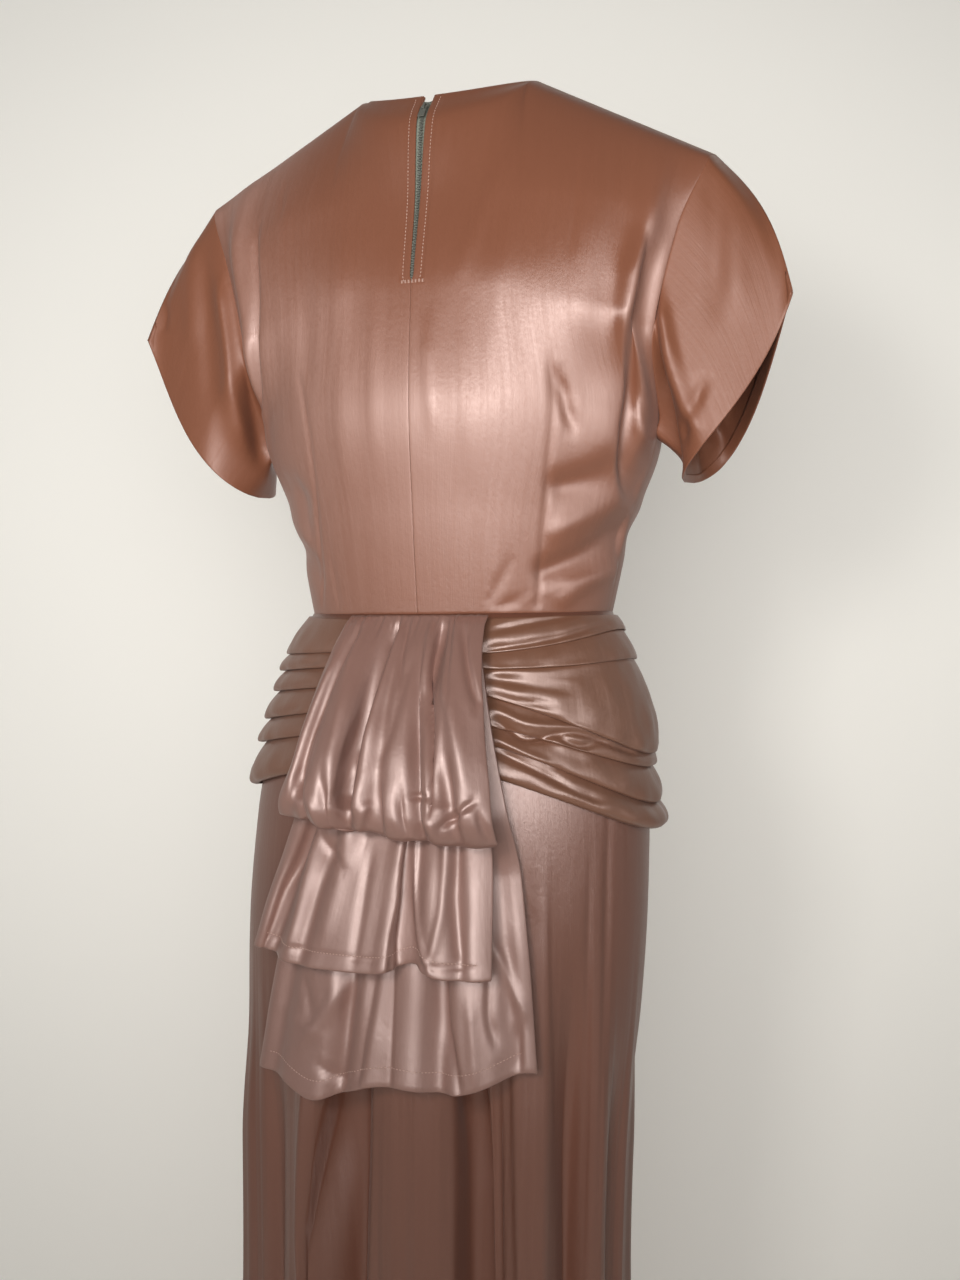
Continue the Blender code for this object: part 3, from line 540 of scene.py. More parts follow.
def sleeve(side, around, out):
    """A cap sleeve: straight lines from the armhole to the lens of the hem, crowned over the shoulder by a
    sine. around runs 0 to 1 as in armhole, out 0 to 1 from the armhole to the hem."""
    low = 1 - np.abs(1 - 2 * around)
    bulge = np.where(around <= UNDERARM_SHARE, SLEEVE_BACK_BULGE, -SLEEVE_FRONT_BULGE)
    hem = np.outer(1 - low, SLEEVE_TIP) + np.outer(low, SLEEVE_LOW)
    hem[:, 1] += bulge * LENS_PEAK * low**2 * np.sqrt(1 - low)
    fall = np.subtract(SLEEVE_LOW, SLEEVE_TIP)
    across = fall[[2, 0]] / np.linalg.norm(fall)
    hem[:, [0, 2]] += SLEEVE_BOW * (4 * low * (1 - low))[:, None] * across * (-1, 1)
    head = armhole(around)
    points = head[:, None] + (hem - head)[:, None] * out[None, :, None]
    crown = SLEEVE_CROWN * np.cos(math.pi / 2 * low)[:, None] * np.sin(math.pi * out)[None, :]
    points[..., 0] += CROWN_OUT * crown
    points[..., 2] += CROWN_UP * crown
    points[..., 0] *= side
    return points


SLEEVE_CREASES_RIGHT = crease_table(
    ((-195, -162, -240, -166, -273, -169, -305, -174), -9.5, 5.5, 6, 14),
    ((-185, -169, -228, -178, -256, -187, -278, -195), 6.5, 5.5, 7, 16),
    ((-92, -205, -144, -209, -190, -208), -1.6, 8, 8, 20),
    ((-120, -221, -190, -225), 1.4, 8, 8, 20),
    ((-245, -200, -285, -183), -2.2, 5, 5, 10),
    ((-250, -155, -290, -160), 4, 3, 4, 10),
)
SLEEVE_CREASES_LEFT = crease_table(
    ((-195, 159, -243, 165, -285, 167), -8, 5.5, 6, 14),
    ((-145, 188, -221, 178, -270, 179), 5.5, 5.5, 8, 16),
    ((-120, 207, -180, 202, -235, 198), -1.8, 8, 8, 20),
    ((-110, 222, -190, 216), 1.6, 9, 9, 20),
    ((-158, 247, -176, 249), -1.6, 4, 4, 6),
)
sleeve_satin = satin("sleeve_satin", (0.185, 0.067, 0.034), (0.245, 0.093, 0.051), 0.0004, 1.58, 0.35, 0.30)
sleeve_around = np.linspace(0, 1, 150, endpoint=False)
sleeve_out = np.linspace(0, 1, 46)
for side, name, creases in ((1, "left", SLEEVE_CREASES_LEFT), (-1, "right", SLEEVE_CREASES_RIGHT)):
    points = sleeve(side, sleeve_around, sleeve_out)
    step = points[:, 1] - points[:, 0]
    points[:, 0] += step * SLEEVE_SEAM / np.linalg.norm(step, axis=-1, keepdims=True)
    centre = (side * 0.20, 0.0)
    normal = outward(points, centre, closed=True)
    free = (ramp(sleeve_out, 0.0, SLEEVE_HELD) * (1 - SLEEVE_HEM_HELD * ramp(sleeve_out, *SLEEVE_HEM)))[None, :, None]
    points = points + normal * free * creased(points[..., 2], points[..., 0], creases)[..., None]
    turns = [(1, True, EDGE_ROLL, 5), (1, False, EDGE_ROLL, 2)]
    piece = satin_piece("satin_sleeve_" + name, "sleeve_" + name, points, centre, turns, sleeve_satin, closed=True)
    "bodice_back_" + name


# The skirt: two back panels that meet at the centre back and one front panel, seamed into the waist, all in one
# satin whose colour is painted shade, darker than the bodice's. It is smooth over the hips and falls to the floor in
# long deep folds.

HEM = -1.460
FOLD_FULL, FOLD_HEM_GAIN, FOLD_HEM_SPREAD = -0.82, 1.7, 1.25
HEM_ROLL, SKIRT_CENTRE = 0.0010, (0.02, 0)
Ring = namedtuple("Ring", "height centre_x half_width back front")
RINGS = (
    Ring(-0.405, 0.000, 0.119, 0.086, 0.092),
    Ring(-0.450, 0.002, 0.137, 0.093, 0.099),
    Ring(-0.500, 0.006, 0.149, 0.098, 0.105),
    Ring(-0.560, 0.010, 0.158, 0.100, 0.109),
    Ring(-0.640, 0.015, 0.161, 0.098, 0.109),
    Ring(-0.760, 0.020, 0.157, 0.094, 0.107),
    Ring(-0.920, 0.022, 0.153, 0.094, 0.108),
    Ring(-1.200, 0.022, 0.184, 0.124, 0.132),
    Ring(-1.460, 0.022, 0.232, 0.176, 0.172),
)
Fold = namedtuple("Fold", "angle drift spread depth start")
SKIRT_FOLDS = (
    Fold(0.0, 0.0, 7.0, 0.004, -0.62),
    Fold(17.0, 14.0, 5.5, -0.030, -0.62),
    Fold(30.0, 14.0, 6.0, 0.010, -0.62),
    Fold(-15.0, -5.0, 4.6, -0.028, -0.62),
    Fold(-24.0, -5.0, 3.4, -0.008, -0.62),
    Fold(-33.0, -5.0, 6.0, 0.009, -0.62),
    Fold(-46.0, -5.0, 5.0, -0.013, -0.62),
    Fold(-58.0, -4.0, 6.0, 0.008, -0.62),
    Fold(50.0, 8.0, 5.0, -0.010, -0.70),
    Fold(72.0, 2.0, 8.0, 0.007, -0.70),
    Fold(-70.0, -2.0, 7.0, -0.008, -0.70),
    Fold(-92.0, 0.0, 8.0, -0.007, -0.70),
    Fold(96.0, 2.0, 8.0, -0.009, -0.70),
    Fold(116.0, 0.0, 9.0, 0.009, -0.70),
    Fold(138.0, 0.0, 8.0, -0.010, -0.70),
    Fold(160.0, 0.0, 9.0, 0.009, -0.70),
    Fold(180.0, 0.0, 8.0, -0.007, -0.70),
    Fold(-160.0, 0.0, 9.0, 0.009, -0.70),
    Fold(-138.0, 0.0, 8.0, -0.010, -0.70),
    Fold(-112.0, 0.0, 9.0, 0.008, -0.70),
)


def ring_sizes(height):
    """The skirt's centre, half width, back and front depth at a height."""
    heights = column(RINGS, "height")
    return [through(heights, column(RINGS, name), height) for name in Ring._fields[1:]]


def lower_body(angle, height, stand_off):
    """A point round the skirt's plain form, an ellipse with its own depth before and behind, moved out
    square to it by the stand-off."""
    centre_x, half_width, back, front = ring_sizes(height)
    depth = np.where(np.cos(angle) >= 0, back, front)
    normal = np.stack([np.sin(angle) * depth, np.cos(angle) * half_width], axis=-1)
    normal /= np.linalg.norm(normal, axis=-1, keepdims=True)
    return np.stack(
        [
            centre_x + half_width * np.sin(angle) + stand_off * normal[..., 0],
            depth * np.cos(angle) + stand_off * normal[..., 1],
            height + 0 * angle,
        ],
        axis=-1,
    )


def skirt_folds(degrees, height):
    """How far the skirt stands out of its plain form: bells that grow from each fold's start to the hem."""
    total = np.zeros(np.broadcast(degrees, height).shape)
    down = ramp(height, FOLD_FULL, HEM)
    for fold in SKIRT_FOLDS:
        away = (degrees - fold.angle - fold.drift * (fold.start - height) / (fold.start - HEM) + 180) % 360 - 180
        grown = ramp(height, fold.start, FOLD_FULL) * (1 + (FOLD_HEM_GAIN - 1) * down)
        total += fold.depth * grown * hump(away, 0, fold.spread * (1 + (FOLD_HEM_SPREAD - 1) * down))
    return total


def waist_height(degrees):
    """The waist seam, which dips a little at the centre back and the centre front."""
    quarter = 1 - np.abs(1 - np.abs(degrees) / 90)
    return WAIST - WAIST_DIP * (1 - quarter**2)


Wave = namedtuple("Wave", "size across along phase beat_across beat_along beat_phase")
SKIRT_WAVES = (
    Wave(1.00, 0.62, 3, 0.0, 0.113, 0, 1.0),
    Wave(0.60, 1.03, -2, 0.7, 0.171, 0, 2.1),
    Wave(0.35, 2.11, 0, 1.9, 0.231, 0, 0.0),
)
FINE_PLEATS, FINE_PLEATS_GROW = 0.0011, (-0.60, -0.95)


def rippled(across, along, waves):
    """A sum of sines over a grid, each one swelled and stilled by a slower sine, its beat."""
    total = 0
    for wave in waves:
        beat = np.sin(across * wave.beat_across + along * wave.beat_along + wave.beat_phase)
        total = total + wave.size * np.sin(across * wave.across + along * wave.along + wave.phase) * beat
    return total


def fine_pleats(degrees, height):
    """The narrow ripples of the long cloth: three waves round the skirt, grown towards the hem."""
    return FINE_PLEATS * ramp(height, *FINE_PLEATS_GROW) * rippled(degrees, height, SKIRT_WAVES)


def skirt(degrees, down):
    """Part of the skirt: degrees round from the centre back, down 0 to 1 from the waist seam to the hem.
    It turns a little on the wearer, so that its centre back seam hangs straight down."""
    angle, share = np.meshgrid(np.radians(degrees), down, indexing="ij")
    top = waist_height(np.degrees(angle))
    height = top + (HEM - top) * share
    centre_x, half_width, _, _ = ring_sizes(height)
    stand = skirt_folds(np.degrees(angle), height) + fine_pleats(np.degrees(angle), height)
    return lower_body(angle - np.arcsin(centre_x / half_width), height, stand)


# Painted shade: the skirt's deep and pale colours are darker than the bodice's, standing in for the dim lower skirt.
skirt_satin_painted_shade = satin("skirt_satin_painted_shade", (0.122, 0.046, 0.028), (0.180, 0.071, 0.044), 0.0003, 2.32, 0.84, 0.20)

SKIRT_CREASES = crease_table(
    ((-720, 50, -840, 73, -908, 86, -1200, 118), -9, 12, 11, 60),
    ((-720, -36, -840, -44, -880, -45, -1200, -58), -12, 8, 8, 60),
    ((-640, -72, -900, -78, -1200, -86), 3, 5, 5, 50),
    ((-770, 117, -900, 117, -1300, 120), -1.5, 1.6, 1.6, 100),
    ((-620, -94, -880, -94, -1200, -104), 2.1, 2.2, 6, 50),
    ((-680, -56, -900, -58, -1200, -64), -3, 3, 3, 40),
    ((-740, -63, -900, -65, -1200, -72), 2.7, 2.6, 2.6, 40),
    ((-560, -132, -760, -127, -900, -124), -1.4, 2, 2, 50),
    ((-600, -121, -760, -116, -900, -113), -1.4, 2, 2, 50),
    ((-700, -30, -900, -26, -1200, -22), 1.8, 3, 3, 50),
    ((-700, 30, -900, 34, -1200, 42), 1.8, 3, 3, 50),
    ((-760, 90, -950, 98, -1200, 110), 2.4, 4, 2.6, 50),
)
skirt_down = np.linspace(0, 1, 120)
for name, degrees, flat, area in (
    ("back_left", np.linspace(0.05, 89.9, 115), (0.40, 1.09), 0.310),
    ("back_right", np.linspace(-89.9, -0.05, 115), (0.40, 1.09), 0.310),
    ("front", np.linspace(90.1, 269.9, 150), (0.68, 1.09), 0.550),
):
    points = skirt(degrees, skirt_down)
    normal = outward(points, SKIRT_CENTRE)
    if name != "front":
        inside = ramp(np.abs(degrees), 0.0, 2.0)[:, None, None]
        lift = creased(points[..., 2], points[..., 0], SKIRT_CREASES)
        points = points + normal * inside * lift[..., None]
    turns = [(0, False, SEAM_ROLL, 2), (0, True, SEAM_ROLL, 2), (1, True, HEM_ROLL, 4)]
    piece = satin_piece("satin_skirt_" + name, "skirt_" + name, points, SKIRT_CENTRE, turns, skirt_satin_painted_shade)


# The hip drapes: a strip of satin on each side, laid in six soft pleats that lap over each other and
# wrap from the centre front round the hip to the bustle, where their ends are stitched down.

Pleat = namedtuple("Pleat", "back side front swell_back swell_side swell_front")
DRAPE_RIGHT = (
    Pleat(0.00, 0.00, 0.00, 0.003, 0.002, 0.004),
    Pleat(0.21, 0.06, 0.17, 0.003, 0.003, 0.005),
    Pleat(0.32, 0.19, 0.33, 0.003, 0.009, 0.005),
    Pleat(0.47, 0.60, 0.50, 0.003, 0.005, 0.005),
    Pleat(0.66, 0.70, 0.67, 0.003, 0.007, 0.005),
    Pleat(0.78, 0.86, 0.84, 0.003, 0.011, 0.004),
)
DRAPE_LEFT = (
    Pleat(0.00, 0.00, 0.00, 0.003, 0.006, 0.004),
    Pleat(0.20, 0.20, 0.17, 0.003, 0.007, 0.005),
    Pleat(0.31, 0.31, 0.33, 0.003, 0.007, 0.005),
    Pleat(0.44, 0.43, 0.50, 0.003, 0.008, 0.005),
    Pleat(0.60, 0.59, 0.67, 0.003, 0.008, 0.005),
    Pleat(0.75, 0.73, 0.84, 0.003, 0.009, 0.004),
)
Edge = namedtuple("Edge", "back side front")
DRAPE_TOP = Edge(-0.4115, -0.4080, -0.4115)
DRAPE_LOW_RIGHT = Edge(-0.520, -0.566, -0.522)
DRAPE_LOW_LEFT = Edge(-0.520, -0.543, -0.522)
DRAPE_START, DRAPE_FRONT_GAP, DRAPE_STAND = 20.0, 0.25, 0.0026
PLEAT_LIP, LAST_LIP, PLEAT_BASE, PLEAT_LATE, PLEAT_FULL = 0.75, 0.35, 0.0006, 1.5, 0.8
DRAPE_WAVES = (Wave(1.0, 19, 21, 0, 7.3, 5, 1), Wave(0.6, 31, -13, 2, 4.1, 9, 0))
DRAPE_SWELL_SHARE, DRAPE_RIPPLE = 0.07, 0.00012


def drape_edge(edge, degrees):
    """A value along the drape, through the three at its back end, the side and the centre front."""
    return through([DRAPE_START, 90.0, 180.0], edge, degrees)


def drape(side, pleats, low_edge, degrees, steps):
    """A pleated hip drape. Across it each pleat swells by a late sine and laps past its own lower edge,
    by four times its lip times the cube of the step and what is left of it, before it tucks in again."""
    top, low = drape_edge(DRAPE_TOP, degrees), drape_edge(low_edge, degrees)
    uppers = [drape_edge((p.back, p.side, p.front), degrees) for p in pleats]
    uppers.append(np.ones_like(degrees))
    share, swell = [], []
    for number, p in enumerate(pleats):
        rise = drape_edge((p.swell_back, p.swell_side, p.swell_front), degrees)
        lip = PLEAT_LIP if number < len(pleats) - 1 else LAST_LIP
        for step in steps:
            lapped = step + 4 * lip * step**3 * (1 - step)
            share.append(uppers[number] + (uppers[number + 1] - uppers[number]) * lapped)
            swell.append((rise + PLEAT_BASE) * math.sin(math.pi * step**PLEAT_LATE) ** PLEAT_FULL)
    share.append(uppers[-1])
    swell.append(np.zeros_like(degrees))
    share, swell = np.array(share).T, np.array(swell).T
    height = top[:, None] + (low - top)[:, None] * share
    angle = np.radians(degrees)[:, None] + 0 * share
    ripple = rippled(angle, share, DRAPE_WAVES)
    stand = DRAPE_STAND + swell * (1 + DRAPE_SWELL_SHARE * ripple) + DRAPE_RIPPLE * ripple
    return lower_body(angle * side, height, stand)


drape_satin = satin("drape_satin", (0.145, 0.064, 0.036), (0.200, 0.090, 0.053), 0.0006, 2.20, 0.70, 0.25)

DRAPE_CREASES_RIGHT = crease_table(
    ((-56, -434, -76, -431, -100, -426, -125, -416), -2.6, 1.6, 3, 6),
    ((-58, -449, -90, -449, -125, -444), 2.2, 3, 3, 8),
    ((-60, -455, -85, -459, -110, -463), -2.2, 2.6, 3, 10),
    ((-62, -476, -85, -486, -112, -489, -140, -500), 2.6, 3, 2.4, 8),
    ((-63, -485, -85, -498, -111, -493, -150, -511), -2.9, 1.8, 2.6, 8),
    ((-65, -507, -93, -521, -118, -535, -132, -542), -2.9, 1.8, 2.8, 8),
    ((-100, -500, -122, -509), 2.6, 3, 3, 6),
    ((-58, -421, -80, -416, -106, -410), -2, 1.4, 2.8, 8),
    ((-60, -466, -84, -472, -104, -474), -2, 1.6, 3, 10),
    ((-64, -497, -84, -508, -100, -515), 2.2, 2.4, 3, 8),
    ((-104, -496, -118, -503, -128, -501), -2.6, 2.2, 2.6, 6),
)

DRAPE_CREASES_LEFT = crease_table(
    ((81, -443, 131, -450), -1.4, 1.8, 3, 6),
    ((84, -459, 135, -466), -1.2, 1.8, 2.6, 6),
    ((98, -478, 141, -488), -1.4, 1.8, 2.8, 6),
)
drape_degrees = np.linspace(DRAPE_START, 180 - DRAPE_FRONT_GAP, 185)
drape_steps = np.linspace(0, 1, 17)[:-1]
for side, name, pleats, low_edge, creases in (
    (1, "left", DRAPE_LEFT, DRAPE_LOW_LEFT, DRAPE_CREASES_LEFT),
    (-1, "right", DRAPE_RIGHT, DRAPE_LOW_RIGHT, DRAPE_CREASES_RIGHT),
):
    points = drape(side, pleats, low_edge, drape_degrees, drape_steps)
    angle = np.radians(drape_degrees)[:, None] * side
    square = np.stack([np.sin(angle), np.cos(angle), 0 * angle], axis=-1)
    behind = ramp(points[..., 1], 0.0, 0.02)
    lift = creased(points[..., 0], points[..., 2], creases) * behind
    points = points + square * lift[..., None]
    piece = satin_piece("satin_drape_" + name, "hip_drape_" + name, points, (0.01, 0), (), drape_satin)
    "satin_skirt_back_" + name


# The bustle: three tiers of satin gathered into the waist seam at the centre back, one over another.
# The top one is puffed and its hem rolls under like a bubble; the two under it are flat at the hem,
# with a narrow stitched edge. Their gathers fall into soft uneven pleats.

Drop = namedtuple("Drop", "share height stand_off half_width centre_x")
TIER_TOP = (
    Drop(0.00, -0.4090, 0.0068, 0.053, -0.002),
    Drop(0.12, -0.4320, 0.0190, 0.057, -0.001),
    Drop(0.34, -0.4720, 0.0350, 0.065, 0.000),
    Drop(0.58, -0.5180, 0.0470, 0.073, 0.000),
    Drop(0.76, -0.5490, 0.0510, 0.080, 0.003),
    Drop(0.86, -0.5640, 0.0460, 0.082, 0.004),
    Drop(0.92, -0.5670, 0.0385, 0.077, 0.004),
    Drop(1.00, -0.5550, 0.0335, 0.066, 0.003),
)
TIER_MIDDLE = (
    Drop(0.00, -0.4095, 0.0046, 0.050, 0.000),
    Drop(0.25, -0.4700, 0.0100, 0.058, 0.003),
    Drop(0.55, -0.5500, 0.0170, 0.074, 0.009),
    Drop(0.78, -0.6050, 0.0310, 0.086, 0.018),
    Drop(1.00, -0.6590, 0.0430, 0.095, 0.025),
)
TIER_LOW = (
    Drop(0.00, -0.4100, 0.0024, 0.048, 0.000),
    Drop(0.25, -0.4900, 0.0048, 0.064, 0.002),
    Drop(0.50, -0.5700, 0.0080, 0.082, 0.005),
    Drop(0.78, -0.6600, 0.0200, 0.098, 0.011),
    Drop(1.00, -0.7420, 0.0300, 0.109, 0.016),
)
Gather = namedtuple("Gather", "top bottom spread depth")
GATHERS_TOP = (
    Gather(0.79, 0.86, 0.08, 0.005),
    Gather(0.36, 0.31, 0.07, 0.010),
    Gather(0.09, 0.06, 0.08, 0.004),
    Gather(-0.21, -0.41, 0.07, 0.010),
    Gather(-0.48, -0.72, 0.09, 0.005),
)
GATHERS_MIDDLE = (
    Gather(0.72, 0.80, 0.08, 0.011),
    Gather(0.42, 0.50, 0.07, 0.004),
    Gather(-0.22, -0.38, 0.12, 0.012),
    Gather(-0.62, -0.78, 0.07, 0.005),
)
GATHERS_LOW = (
    Gather(0.78, 0.84, 0.09, 0.006),
    Gather(0.25, 0.30, 0.09, 0.011),
    Gather(-0.05, -0.06, 0.08, 0.003),
    Gather(-0.32, -0.40, 0.09, 0.011),
    Gather(-0.80, -0.86, 0.08, 0.007),
)
LOOSE_TOP, LOOSE_UNDER = (0.0, 0.5), (0.35, 0.90)
Dip = namedtuple("Dip", "across spread drop")
HEM_TOP = (Dip(1.0, 0.60, -0.014), Dip(-0.9, 0.40, 0.003), Dip(0.15, 0.15, -0.005))
HEM_MIDDLE = (Dip(1.0, 0.30, -0.008), Dip(-0.40, 0.12, -0.007), Dip(-0.85, 0.25, 0.003))
HEM_LOW = (Dip(0.48, 0.28, 0.016), Dip(-0.95, 0.20, -0.012), Dip(-0.45, 0.20, 0.004), Dip(1.0, 0.15, 0.002))
SIDE_CURL, SIDE_CURL_POWER, DRAPE_COVER = 0.005, 10, 0.0085
COVER_ACROSS, COVER_TOP, COVER_FOOT = (0.024, 0.040), (-0.402, -0.416), (-0.600, -0.545)
STEADY = (0, 0, math.pi / 2)
PUCKERS = (Wave(1.0, 47, 6, 0.5, *STEADY), Wave(0.7, 71, -9, 2.0, *STEADY), Wave(0.5, 29, 0, 1.1, *STEADY))
PUCKER_HEIGHT, PUCKER_START, PUCKER_END = 0.0005, (-0.02, 0.03), (0.0, 0.14)
WANDER, WANDER_HEIGHT, WANDER_START = (Wave(1.0, 13, 17, 0, 5, -11, 1),), 0.0004, (0.2, 0.6)
CREASE_START, BUBBLE_END, DIP_START = (0.0, 0.05), (0.99, 0.88), (0.3, 1.0)
TIER_SIDE_ROLL, TIER_HEM_ROLL = 0.0009, 0.0012


def under_tiers(x, height):
    """The back surface that the tiers lie over: the plain skirt, and the drapes' ends beside the centre."""
    centre_x, half_width, back, _ = ring_sizes(height)
    plain = back * np.sqrt(np.clip(1 - ((x - centre_x) / half_width) ** 2, 0.05, 1))
    level = ramp(height, *COVER_TOP) * ramp(height, *COVER_FOOT)
    return plain + DRAPE_COVER * ramp(np.abs(x), *COVER_ACROSS) * level


def tier(drops, gathers, loose, dips, across, down):
    """A gathered tier: across -1 to 1 from the wearer's right to the left, down 0 to 1 to its lower edge.
    It stands off what lies under it by a curve, less a bell for each gather."""
    shares = column(drops, "share")
    height, stand, half, centre = (through(shares, column(drops, name), down) for name in Drop._fields[1:])
    x = centre[None, :] + half[None, :] * across[:, None]
    z = np.broadcast_to(height[None, :], x.shape).copy()
    grown = ramp(down, *loose)[None, :]
    y = under_tiers(x, z) + stand[None, :]
    for gather in gathers:
        line = gather.top + (gather.bottom - gather.top) * down[None, :]
        y = y - gather.depth * grown * hump(across[:, None], line, gather.spread)
    y = y - SIDE_CURL * (np.abs(across)[:, None] ** SIDE_CURL_POWER) * grown
    for dip in dips:
        z -= dip.drop * hump(across[:, None], dip.across, dip.spread) * ramp(down, *DIP_START)[None, :]
    return np.stack([x, y, z], axis=-1)


def fine_gathers(across, down):
    """The small gathers of the waist seam, waves whose beat stays at 1, faded down the tier, and the faint
    wander of the cloth below them."""
    a, d = np.meshgrid(across, down, indexing="ij")
    pucker = PUCKER_HEIGHT * rippled(a, d, PUCKERS) * (1 - ramp(d, *PUCKER_END)) * ramp(d, *PUCKER_START)
    return pucker + WANDER_HEIGHT * rippled(a, d, WANDER) * ramp(d, *WANDER_START)


TOP_CREASES = crease_table(
    ((-418, 10, -445, 14, -480, 19, -515, 25, -545, 26), -7.8, 1.3, 6.5, 12),
    ((-418, 6, -445, 9, -480, 14, -515, 19, -545, 20), 2.2, 4.5, 2.2, 8),
    ((-418, -23, -462, -23, -489, -29, -516, -34, -540, -37), -7.6, 6, 1.3, 12),
    ((-418, -18, -462, -18, -489, -23, -516, -28, -540, -31), 2.2, 2.2, 4.5, 8),
    ((-416, 1, -436, 1, -455, -2), -1.8, 2.2, 2.2, 8),
    ((-441, -8, -490, -1, -508, 3), -1.4, 4, 4, 10),
    ((-418, -44, -441, -51, -470, -62), -3.4, 1.6, 3.5, 12),
    ((-418, 37, -445, 46, -470, 53, -498, 60, -530, 66), -3.6, 1.8, 5, 12),
    ((-440, 52, -498, 67, -540, 73), 2, 3.5, 3.5, 12),
    ((-418, -34, -440, -37, -470, -42), -1.4, 2.2, 2.2, 10),
    ((-455, -36, -500, -53, -530, -60), 1.6, 6, 4, 12),
    ((-460, 34, -535, 44), 1.4, 6, 6, 14),
    ((-516, -46, -562, -54), -4, 3.8, 3.8, 16),
    ((-530, 4, -562, 2), -4.8, 3.6, 5.2, 14),
    ((-522, 44, -562, 38), -4, 4.6, 3.4, 16),
    ((-534, -14, -562, -18), -4.2, 3.8, 3.8, 12),
    ((-526, 64, -562, 58), -4.2, 3, 4.6, 14),
    ((-536, -66, -556, -44), -2.6, 3, 2.4, 8),
    ((-540, -28, -558, -38), 2.2, 3.4, 2.8, 8),
    ((-542, 12, -560, 19), 2.4, 3, 4, 8),
    ((-538, 52, -558, 47), 2.2, 3.4, 3, 8),
    ((-545, -70, -562, -74), -2.4, 2.6, 2.6, 8),
)
MIDDLE_CREASES = crease_table(
    ((-550, 64, -591, 83, -613, 94, -639, 103, -662, 113), -4.2, 2.2, 5, 10),
    ((-545, -6, -589, -2, -609, -1, -637, 2, -665, 3), 5, 1.6, 6, 10),
    ((-545, -8, -589, -5, -609, -5, -637, -4, -665, -6), -5.5, 4, 1.6, 10),
    ((-550, -9, -596, -12, -630, -18, -658, -30), 2.5, 2.6, 1.8, 10),
    ((-550, -45, -601, -44, -622, -46, -650, -50), -3, 2.4, 4, 10),
    ((-560, -36, -608, -36, -650, -30), 2.2, 4, 3, 10),
    ((-555, 36, -600, 44, -640, 52), 2, 7, 7, 14),
    ((-570, 66, -650, 82), 2.2, 5, 4, 14),
    ((-580, 20, -655, 26), -1.8, 4, 4, 14),
)
LOW_CREASES = crease_table(
    ((-660, 20, -690, 24, -712, 28, -745, 33), -4, 5, 6, 12),
    ((-655, 6, -700, 6, -745, 6), -1.4, 1.6, 1.6, 10),
    ((-655, -28, -695, -32, -715, -37, -745, -45), -3.6, 3, 6, 12),
    ((-650, -63, -686, -63, -710, -67), -2.6, 3, 3, 10),
    ((-672, 80, -700, 72), -1.4, 5, 4, 10),
    ((-670, 43, -702, 64, -722, 82), 1.8, 6, 5, 12),
    ((-641, -63, -690, -84), 2.2, 4, 4, 12),
    ((-700, -81, -730, -82), -2.4, 2.4, 4, 8),
    ((-665, 55, -730, 48), 1.4, 5, 5, 14),
    ((-680, -50, -740, -55), 1.8, 4, 4, 14),
)
LOW_FOLDS = crease_table(
    ((40, -747, 66, -733), -1.6, 3, 3, 8),
    ((60, -715, 100, -700), 0.8, 5, 5, 12),
)
MIDDLE_FOLDS = crease_table(
    ((39, -591, 64, -564), -1.6, 3.5, 3.5, 8),
    ((6, -650.5, 73, -648.5, 104, -645), -0.8, 1.6, 1.6, 6),
    ((-62, -654, -10, -653), -0.8, 1.6, 1.6, 6),
)
TOP_FOLDS = crease_table(
    ((-37, -534, -21, -535), -1.4, 2.6, 2.6, 6),
    ((-66, -545, -40, -541), 0.8, 4, 4, 8),
    ((6, -542, 36, -546), 0.7, 4, 4, 8),
)
# Painted light: the tiers' deep and pale colours are paler and pinker than the bodice's, standing in for the bloom the
# tiers catch.
tier_satin_painted_light = satin("tier_satin_painted_light", (0.205, 0.110, 0.088), (0.275, 0.150, 0.122), 0.0006, 2.25, 0.66, 0.27)
tier_surface = {}
for name, drops, gathers, loose, dips, down_creases, cross_folds, columns, flat, area in (
    ("top", TIER_TOP, GATHERS_TOP, LOOSE_TOP, HEM_TOP, TOP_CREASES, TOP_FOLDS, 156, (0.24, 0.20), 0.037),
    ("middle", TIER_MIDDLE, GATHERS_MIDDLE, LOOSE_UNDER, HEM_MIDDLE,
     MIDDLE_CREASES, MIDDLE_FOLDS, 136, (0.24, 0.27), 0.048),
    ("low", TIER_LOW, GATHERS_LOW, LOOSE_UNDER, HEM_LOW, LOW_CREASES, LOW_FOLDS, 144, (0.27, 0.35), 0.070),
):
    across, down = np.linspace(-1, 1, columns), np.linspace(0, 1, 120)
    points = tier(drops, gathers, loose, dips, across, down)
    normal = outward(points, (0, -1))
    outside = ramp(down, *CREASE_START) * (ramp(down, *BUBBLE_END) if name == "top" else 1.0)
    lift = creased(points[..., 2], points[..., 0], down_creases) + creased(points[..., 0], points[..., 2], cross_folds)
    lift = lift * outside[None, :] + fine_gathers(across, down)
    points = points + normal * lift[..., None]
    tier_surface[name] = points
    turns = [(0, False, TIER_SIDE_ROLL, 5), (0, True, TIER_SIDE_ROLL, 5), (1, True, TIER_HEM_ROLL, 6)]
    piece = satin_piece("satin_tier_" + name, "bustle_tier_" + name, points, (0, -1), turns, tier_satin_painted_light)


# The zip: a short cotton tape, pressed against the back of the slit, with a closed chain of fine metal
# teeth standing up along its middle. Its slider sits at the top, and the small pull hangs from it.

TAPE_ENDS, TAPE_HALF_WIDTH, TAPE_SINK, TAPE_THICKNESS = (-0.0285, -0.1760), 0.011, 0.0022, 0.0006
TAPE_WAVE = 0.0003
CHAIN_TOP, CHAIN_FOOT, CHAIN_SINK = -0.0445, -0.1720, 0.0016
TOOTH_PITCH, TOOTH_HALF_WIDTH, TOOTH_HALF_LENGTH, TOOTH_RISE = 0.0013, 0.0015, 0.00045, 0.0009
TOOTH_LEAN, TOOTH_BEVEL = 0.25, 0.7


